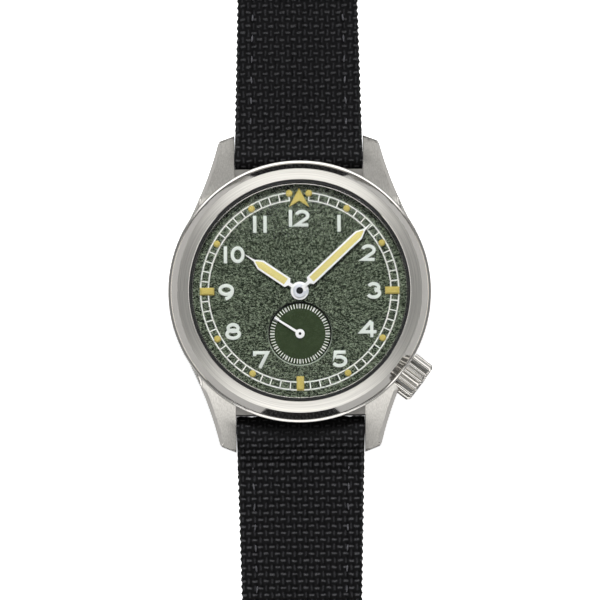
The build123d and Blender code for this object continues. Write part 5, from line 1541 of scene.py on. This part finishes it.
@dataclass
class Hands:
    """The three hands, with bright frames round their luminous windows."""

    edge: float = 0.03 * MM
    hour_hub: float = 1.31 * MM
    minute_hub: float = 1.02 * MM
    cannon_radius: float = 0.49 * MM
    post_radius: float = 0.2 * MM
    end_rise: float = 0.03 * MM
    end_dome: float = 0.02 * MM
    end_wall: float = 0.12 * MM

    def build(self) -> None:
        """Rounds and dresses each hand."""
        hubs = {"hour_hand": self.hour_hub, "minute_hand": self.minute_hub, "seconds_hand": 0.0}
        for name, hub in hubs.items():
            mesh = copied(name, self.edge)
            mesh.materials.append(HAND_METAL.material())
            mesh.materials.append(HUB_METAL.material())
            for polygon in mesh.polygons:
                reach = max(math.hypot(*mesh.vertices[i].co.xy) for i in polygon.vertices)
                polygon.material_index = int(reach < hub)
            place(f"polished_{name}", mesh, body_of(name), HAND_METAL, [name])
        for name in ("hour_hand_lume", "minute_hand_lume"):
            place(f"filled_{name}", copied(name, self.edge), body_of(name), HAND_LUME, [name])
        top = high("minute_hand").z
        self.close_bore("cannon_pinion_end", "cannon_pinion", (0.0, 0.0), self.cannon_radius, top)
        middle, top = Dial().seconds_centre, high("seconds_hand").z
        self.close_bore("seconds_post_end", "fourth_wheel", middle, self.post_radius, top)

    def close_bore(self, name: str, node: str, middle: Point, radius: float, top: float) -> None:
        """Lays a post's domed end over a hand's bore, painted dark as the shade in the bore."""
        top = max(top, high(node).z) + self.end_rise
        shoulder, foot = top - self.end_dome, top - self.end_wall
        outline = [(0.0, top), (radius, shoulder), (radius, foot), (0.0, foot)]
        place(name, smoothed(lathe(name, outline, 32, middle)), body_of(node), BORE_SHADE_STEEL)


# Strap


YARN_HALF_SHARE = 0.43
YARN_ROUND = 1.3
KEEPER_PITCH = 0.8 * MM
KEEPER_DEPTH = 0.3 * MM
KEEPER_STEP = 0.19 * MM


def plain_weave(across: float, along: float, column: float, row: float, depth: float) -> float:
    """Height of a plain weave's surface at a point.

    Args:
        across: Place across the cloth.
        along: Place along the cloth.
        column: Pitch of the warp yarns.
        row: Pitch of the weft yarns.
        depth: How far a yarn rises and falls.

    Returns:
        The height of whichever yarn lies on top, from the lowest crossing.
    """
    u, v = across / column, along / row
    i, j = math.floor(u), math.floor(v)
    weft = yarn(v - j - 0.5) - math.sin(math.pi * u) * (-1) ** j
    warp = yarn(u - i - 0.5) + math.sin(math.pi * v) * (-1) ** i
    return depth * max(weft, warp, 0.0) / (YARN_ROUND + 1)


def yarn(aside: float) -> float:
    """A yarn's rounded height at a distance from its middle, as a share of its pitch."""
    room = 1 - (aside / YARN_HALF_SHARE) ** 2
    return YARN_ROUND * math.sqrt(room) if room > 0 else -2.0


def woven_band(name: str, outer: list[Point], inner: list[Point], start: float, end: float) -> Mesh:
    """Weaves a closed band, such as a keeper.

    Args:
        name: The mesh's name.
        outer: The band's outline seen along Y, evenly spaced.
        inner: Its hollow's outline, with as many points.
        start: Its lower end along Y.
        end: Its upper end along Y.

    Returns:
        The closed mesh.
    """
    rows = max(2, round((end - start) / KEEPER_STEP))
    count, points, cloth = len(outer), [], []
    spots = [(outer, start + (end - start) * j / rows, True) for j in range(rows + 1)]
    spots += [(inner, end, False), (inner, start, False)]
    for loop, y, woven in spots:
        reach = 0.0
        for i, (x, z) in enumerate(loop):
            before, after = Vector(loop[i - 1]), Vector(loop[(i + 1) % count])
            out = Vector((after.y - before.y, before.x - after.x)).normalized()
            reach += math.dist(loop[i - 1], (x, z)) if i else 0.0
            lift, edge = 0.0, min(y - start, end - y)
            if woven:
                lift = plain_weave(y, reach, KEEPER_PITCH, KEEPER_PITCH, KEEPER_DEPTH) - KEEPER_DEPTH
                lift -= KEEPER_DEPTH * max(0.0, 1 - edge / KEEPER_DEPTH) ** 2
            points.append((x + out.x * lift, y, z + out.y * lift))
            cloth.append((y / KEEPER_PITCH, reach / KEEPER_PITCH))
    loops = len(spots)
    faces = []
    for j in range(loops):
        near, far = j * count, (j + 1) % loops * count
        faces += [(near + i, near + (i + 1) % count, far + (i + 1) % count, far + i) for i in range(count)]
    return smoothed(new_mesh(name, points, faces, cloth), WOVEN_ANGLE)


def rounded_box(low_corner: Point, high_corner: Point, radius: float, count: int) -> list[Point]:
    """Evenly spaced points round a rectangle with rounded corners."""
    left, right = low_corner[0] + radius, high_corner[0] - radius
    bottom, top = low_corner[1] + radius, high_corner[1] - radius
    corners = ((right, bottom, -90), (right, top, 0), (left, top, 90), (left, bottom, 180))
    route = [p for x, y, turn in corners for p in arc((x, y), (radius, radius), turn, turn + 90, 8)]
    route.append(route[0])
    total = sum(math.dist(a, b) for a, b in zip(route, route[1:]))
    return evenly(route, total / count)[:-1]


@dataclass
class Strap:
    """Both halves of the woven strap, its keepers and its buckle."""

    column_pitch: float = 0.8 * MM
    row_pitch: float = 0.967 * MM
    weave_depth: float = 0.5 * MM
    edge_wave: float = 0.1 * MM
    lug_reach: float = 3.0 * MM
    loop_radius: float = 2.06 * MM
    side_swell: float = 0.15 * MM
    pin_loop_radius: float = 1.5 * MM
    thickness: float = 2.4 * MM
    lining: float = 0.9 * MM
    ease: float = 6.0 * MM
    taper: float = 37.0 * MM
    end_half: float = 8.1 * MM
    tip_height: float = 4.9 * MM
    keeper_wall: float = 0.9 * MM
    keeper_corner: float = 1.0 * MM
    keeper_hollow_corner: float = 0.5 * MM
    keeper_steps: int = 240
    back_step: float = 1.5 * MM
    spine_points: int = 200
    pin_reach: Point = (-1.0 * MM, 4.0 * MM)
    wander_share: float = 0.09
    wander_size: float = 3.0 * MM
    calm_least: float = 0.1
    lining_rounding: float = 0.15 * MM
    buckle_rounding: float = 0.2 * MM
    spine_step: float = 0.8 * MM
    hole_radius: float = 0.9 * MM
    hole_pitch: float = 6.0 * MM
    hole_count: int = 9
    first_hole: float = 24.0 * MM
    stitch_inset: float = 2.15 * MM
    edge_fold: float = 0.55 * MM
    seam_depth: float = 0.1 * MM
    seam_width: float = 0.3 * MM
    bore_radius: float = 0.87 * MM
    stitch_pitch: float = 2.86 * MM
    stitch_length: float = 1.0 * MM
    stitch_lead: float = 1.0 * MM
    stitch_tail: float = 5.0 * MM
    stitch_path_steps: int = 60
    stitch_seed: int = 7
    thread: float = 0.24 * MM
    thread_above: float = 0.45

    def build(self) -> None:
        """Makes both halves and dresses the buckle."""
        tubes_low, tubes_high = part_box("spring_bar_tubes")
        self.bar_z = (tubes_low.z + tubes_high.z) / 2
        self.bar_y = tubes_high.y - (tubes_high.z - tubes_low.z) / 2
        self.half = high("short_strap_cover").x + self.side_swell
        self.make_half("long", -1, low("long_strap_lining").z)
        self.make_half("short", 1, low("short_strap_lining").z)
        for name in ("fixed_keeper", "free_keeper"):
            (left, front, bottom), (right, back, top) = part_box(name)
            wall, steps = self.keeper_wall, self.keeper_steps
            outer = rounded_box((left, bottom), (right, top), self.keeper_corner, steps)
            start, end = (left + wall, bottom + wall), (right - wall, top - wall)
            inner = rounded_box(start, end, self.keeper_hollow_corner, steps)
            band = woven_band(name, outer, inner, front, back)
            place(f"woven_{name}", band, body_of(name), WEAVE, [name])
        for name in ("buckle_frame", "buckle_tang"):
            mesh = copied(name, self.buckle_rounding)
            place(f"rounded_{name}", mesh, body_of(name), BUCKLE_STEEL, [name])
        dress(BUCKLE_STEEL, "buckle_pin")

    def half_width(self, y: float, end: float, rounded: bool) -> float:
        """Half the strap's width at a distance from the watch's centre."""
        share = min(max((y - self.bar_y) / self.taper, 0.0), 1.0)
        half = self.half + (self.end_half - self.half) * share
        if rounded and y > end - self.tip_height:
            radius = (self.end_half**2 + self.tip_height**2) / (2 * self.tip_height)
            fall = y - (end - radius)
            half = min(half, math.sqrt(max(radius**2 - fall**2, 0.0)))
        return half

    def outline(self, name: str, lift: float) -> tuple[list[Point], int, float]:
        """The cover's outline from the side.

        Args:
            name: Which half.
            lift: Height of the half's underside.

        Returns:
            The points from the lining's start round the bar, over the top and back, how many of them lie on
            the woven side, and the half's end.
        """
        step = self.row_pitch / 6
        start = self.bar_y + self.ease
        top, split = lift + self.thickness, lift + self.lining
        route = ease_curve((start, lift), (self.bar_y, self.bar_z - self.loop_radius))
        route += arc((self.bar_y, self.bar_z), (self.loop_radius, self.loop_radius), -90, -270, 24)[1:]
        route += ease_curve((self.bar_y, self.bar_z + self.loop_radius), (start, top))[1:]
        if name == "long":
            end = abs(low("long_strap_cover").y)
            route += [(end, top)]
        else:
            pin = (high("buckle_pin") + low("buckle_pin")) / 2
            end = pin.y - self.ease
            radius = self.pin_loop_radius
            route += [(end, top)] + ease_curve((end, top), (pin.y, pin.z + radius))[1:]
            route += arc((pin.y, pin.z), (radius, radius), 90, -90, 20)[1:]
            route += ease_curve((pin.y, pin.z - radius), (end, lift))[1:]
        woven = evenly(route, step)
        return woven + evenly([(end, split), (start, split)], self.back_step), len(woven), end

    def make_half(self, name: str, way: int, lift: float) -> None:
        """Weaves a half's cover, cuts its lining and sews them together.

        Args:
            name: Which half.
            way: 1 for the half at 12 o'clock, or -1 for the one at 6.
            lift: Height of its underside.
        """
        points, woven, end = self.outline(name, lift)
        rounded = name == "long"
        spots, cloth, width = self.sheet(points, woven, end, rounded)
        faces = []
        for i in range(len(points)):
            near, far = i * width, (i + 1) % len(points) * width
            faces += [(near + k, near + k + 1, far + k + 1, far + k) for k in range(width - 1)]
        core = lift + (self.lining + self.thickness) / 2
        added, sides = self.sides(points, width, core, end, rounded)
        cloth += [(0.0, 0.5)] * len(added)
        vertices = [(way * x, way * y, z) for x, y, z in spots + added]
        mesh = new_mesh(f"{name}_weave", vertices, faces + sides, cloth)
        mesh = smoothed(self.punched(mesh, end) if rounded else mesh, WOVEN_ANGLE)
        place(f"woven_{name}_strap", mesh, body_of(f"{name}_strap_cover"), WEAVE, [f"{name}_strap_cover"])
        node = f"{name}_strap_lining"
        place(f"coated_{name}_lining", copied(node, self.lining_rounding), body_of(node), LINING, [node])
        self.sew(name, way, lift, end)

    def sheet(
        self, points: list[Point], woven: int, end: float, rounded: bool
    ) -> tuple[list[Spot], list[Point], int]:
        """The skin that runs round a half's outline.

        Args:
            points: The outline from the side.
            woven: How many of its points lie on the woven side.
            end: Where the half ends.
            rounded: Whether its end is round in plan.

        Returns:
            Its vertices, the place on the cloth of each, and how many lie side by side.
        """
        column = self.column_pitch / 5
        count = math.ceil(self.half / column)
        reach, spots, cloth = 0.0, [], []
        for i, (y, z) in enumerate(points):
            before, after = points[i - 1], points[(i + 1) % len(points)]
            reach += math.dist(before, (y, z)) if i else 0.0
            along = Vector((after[0] - before[0], after[1] - before[1])).normalized()
            half = self.half_width(y, end, rounded)
            wave = math.cos(math.tau * reach / self.row_pitch) if i < woven else -1.0
            breadth = half + self.beyond_lugs(y) * self.edge_wave * wave
            for k in range(-count, count + 1):
                x = k / count * breadth
                off = self.surface(x, reach, half, y) if 0 < i < woven else 0.0
                spots.append((x, y - along.y * off, z + along.x * off))
                cloth.append((x / self.column_pitch, reach / self.row_pitch))
        return spots, cloth, 2 * count + 1

    def sides(
        self, points: list[Point], width: int, core: float, end: float, rounded: bool
    ) -> tuple[list[Spot], list[tuple[int, ...]]]:
        """Closes the skin's two sides round the spring bar's hole.

        Args:
            points: The outline from the side.
            width: How many of the skin's vertices lie side by side.
            core: Height of the side's inner points.
            end: Where the half ends.
            rounded: Whether its end is round in plan.

        Returns:
            The vertices that it adds after the skin's, and the faces.
        """
        bore = oval((self.bar_y, self.bar_z), (self.bore_radius, self.bore_radius), 24)
        spine = [(self.bar_y + self.ease + i * self.spine_step, core) for i in range(self.spine_points)]
        spine = [p for p in spine if p[0] < end - self.spine_step]
        extra, first, added, faces = bore + spine, len(points) * width, [], []
        cap = self.side_faces(points, bore, spine)
        for side, column in ((-1, 0), (1, width - 1)):
            index = [i * width + column for i in range(len(points))]
            index += [first + len(added) + i for i in range(len(extra))]
            for y, z in extra:
                half = self.half_width(y, end, rounded)
                added.append((side * (half - self.edge_wave * self.beyond_lugs(y)), y, z))
            faces += [tuple(index[i] for i in t) for t in cap]
        for i in range(len(bore)):
            k = (i + 1) % len(bore)
            faces.append((first + i, first + k, first + len(extra) + k, first + len(extra) + i))
        return added, faces

    def beyond_lugs(self, y: float) -> float:
        """How far a place lies beyond the lugs, from 0 to 1."""
        return min(max((y - self.bar_y - self.lug_reach) / self.lug_reach, 0.0), 1.0)

    def side_faces(self, rim: list[Point], bore: list[Point], spine: list[Point]) -> list[list[int]]:
        """Cuts the strap's side into small triangles.

        Args:
            rim: The side's outline.
            bore: The hole for the spring bar.
            spine: Points within the side, which keep the triangles short.

        Returns:
            Three places each in the outline, the hole and the inner points, counted through.
        """
        corners = [Vector(p) for p in rim + bore + spine]
        edges = [(i, (i + 1) % len(rim)) for i in range(len(rim))]
        edges += [(len(rim) + i, len(rim) + (i + 1) % len(bore)) for i in range(len(bore))]
        flat, _, found, origins, *_ = delaunay_2d_cdt(corners, edges, [], 0, 1e-9)
        kept = []
        for triangle in found:
            middle = sum((flat[i] for i in triangle), Vector((0.0, 0.0))) / 3
            if inside(rim, middle) and not inside(bore, middle):
                kept.append([origins[i][0] for i in triangle])
        return kept

    def punched(self, mesh: Mesh, end: float) -> Mesh:
        """Cuts the row of holes for the buckle's tang."""
        bottom, top = self.pin_reach
        pins = []
        for i in range(self.hole_count):
            y = -(end - self.first_hole - i * self.hole_pitch)
            outline = [(0.0, bottom), (self.hole_radius, bottom), (self.hole_radius, top), (0.0, top)]
            pins.append(lathe("pin", outline, 24, (0.0, y)))
        cutter = bpy.data.objects.new("pins", joined("pins", pins))
        bpy.context.scene.collection.objects.link(cutter)

        def modify(holder: Piece) -> None:
            """Adds the cut."""
            cut = holder.modifiers.new("holes", "BOOLEAN")
            cut.operation, cut.object, cut.solver = "DIFFERENCE", cutter, "EXACT"

        result = evaluated("punched", mesh, modify)
        bpy.data.objects.remove(cutter)
        return tidied(result)

    def surface(self, x: float, along: float, half: float, y: float) -> float:
        """How far the woven surface stands off the plain one, which its highest yarns just reach."""
        wander = noise.noise(Vector((x, along, 0.0)) / self.wander_size) * self.wander_share
        column, row = self.column_pitch, self.row_pitch
        height = plain_weave(x + wander * column, along + wander * row, column, row, self.weave_depth)
        calm = min(max(self.calm_least + (y - self.bar_y) / self.lug_reach, self.calm_least), 1.0)
        height = self.weave_depth - (self.weave_depth - height) * calm
        edge, fold = half - abs(x), self.edge_fold
        drop = calm * (fold - math.sqrt(max(fold**2 - (fold - edge) ** 2, 0.0))) if edge < fold else 0.0
        seam = self.seam_depth * math.exp(-(((abs(x) - (half - self.stitch_inset)) / self.seam_width) ** 2))
        return height - self.weave_depth - drop - seam

    def sew(self, name: str, way: int, lift: float, end: float) -> None:
        """Sews a row of stitches along both edges."""
        first, last = self.bar_y + self.ease - self.stitch_lead, end - self.stitch_tail
        top = lift + self.thickness - self.thread * self.thread_above
        steps = self.stitch_path_steps
        rows = []
        for side in (-1, 1):
            points = []
            for i in range(steps + 1):
                y = first + (last - first) * i / steps
                x = side * (self.half_width(y, end, False) - self.stitch_inset)
                points.append((way * x, way * y, top))
            row = bpy.data.meshes.new("row")
            row.from_pydata(points, [(i, i + 1) for i in range(steps)], [])
            values = {
                "Pitch": self.stitch_pitch,
                "Length": self.stitch_length,
                "Thread": self.thread,
                "Seed": self.stitch_seed + side,
                "Material": THREAD.material(),
            }
            rows.append(STITCHES.grown("sewn_row", values, row))
        mesh = joined(f"{name}_stitches", rows)
        place(f"{name}_stitching", smoothed(mesh, 60), body_of(f"{name}_strap_cover"), THREAD)


def ease_curve(start: Point, end: Point, steps: int = 16) -> list[Point]:
    """Points along an S between two points, level at both ends."""
    shares = [i / steps for i in range(steps + 1)]
    run, rise = end[0] - start[0], end[1] - start[1]
    return [(start[0] + run * t, start[1] + rise * t * t * (3 - 2 * t)) for t in shares]


def evenly(route: Sequence[Point], step: float) -> list[Point]:
    """Points along a route, a step apart, its first and last kept."""
    total = sum(math.dist(a, b) for a, b in zip(route, route[1:]))
    count = max(1, round(total / step))
    points, done, index = [route[0]], 0.0, 0
    for i in range(1, count):
        target = total * i / count
        while done + math.dist(route[index], route[index + 1]) < target:
            done += math.dist(route[index], route[index + 1])
            index += 1
        share = (target - done) / math.dist(route[index], route[index + 1])
        a, b = route[index], route[index + 1]
        points.append((a[0] + (b[0] - a[0]) * share, a[1] + (b[1] - a[1]) * share))
    return points + [route[-1]]


# Movement


@dataclass
class Movement:
    """The pieces inside the case, each in the metal that such a movement has."""

    brass: tuple[str, ...] = (
        "centre_wheel",
        "third_wheel",
        "fourth_wheel",
        "mainspring_barrel",
        "barrel_cover",
        "minute_wheel",
        "hour_wheel",
        "balance_wheel",
    )
    nickel: tuple[str, ...] = ("main_plate", "train_bridge", "balance_cock", "rotor", "holder_clamps")
    steel: tuple[str, ...] = (
        "winding_pinion",
        "sliding_pinion",
        "cannon_pinion",
        "escape_wheel",
        "pallet_fork",
        "balance_staff",
        "barrel_arbor",
        "mainspring",
        "hairspring",
        "rotor_bearing",
    )
    bars: tuple[str, ...] = (
        "spring_bar_tubes",
        "bar_tip_12_right",
        "bar_tip_12_left",
        "bar_tip_6_right",
        "bar_tip_6_left",
    )

    def build(self) -> None:
        """Dresses every piece."""
        dress(BRASS, *self.brass)
        dress(NICKEL, *self.nickel)
        dress(SPRING, *self.steel, *self.bars)
        dress(BLUED, "bridge_screws", "clamp_screws")
        dress(HOLDER, "movement_ring")


RINGS = ring_of_bars()
STITCHES = row_of_stitches()


def main() -> None:
    """Builds the studio and the watch, piece by piece."""
    logging.basicConfig(level=logging.INFO, format="%(message)s")
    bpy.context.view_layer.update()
    for part in (Studio(), Case(), Dial(), Hands(), Strap(), Movement()):
        LOG.info("building %s", type(part).__name__)
        part.build()


if __name__ == "__main__":
    main()
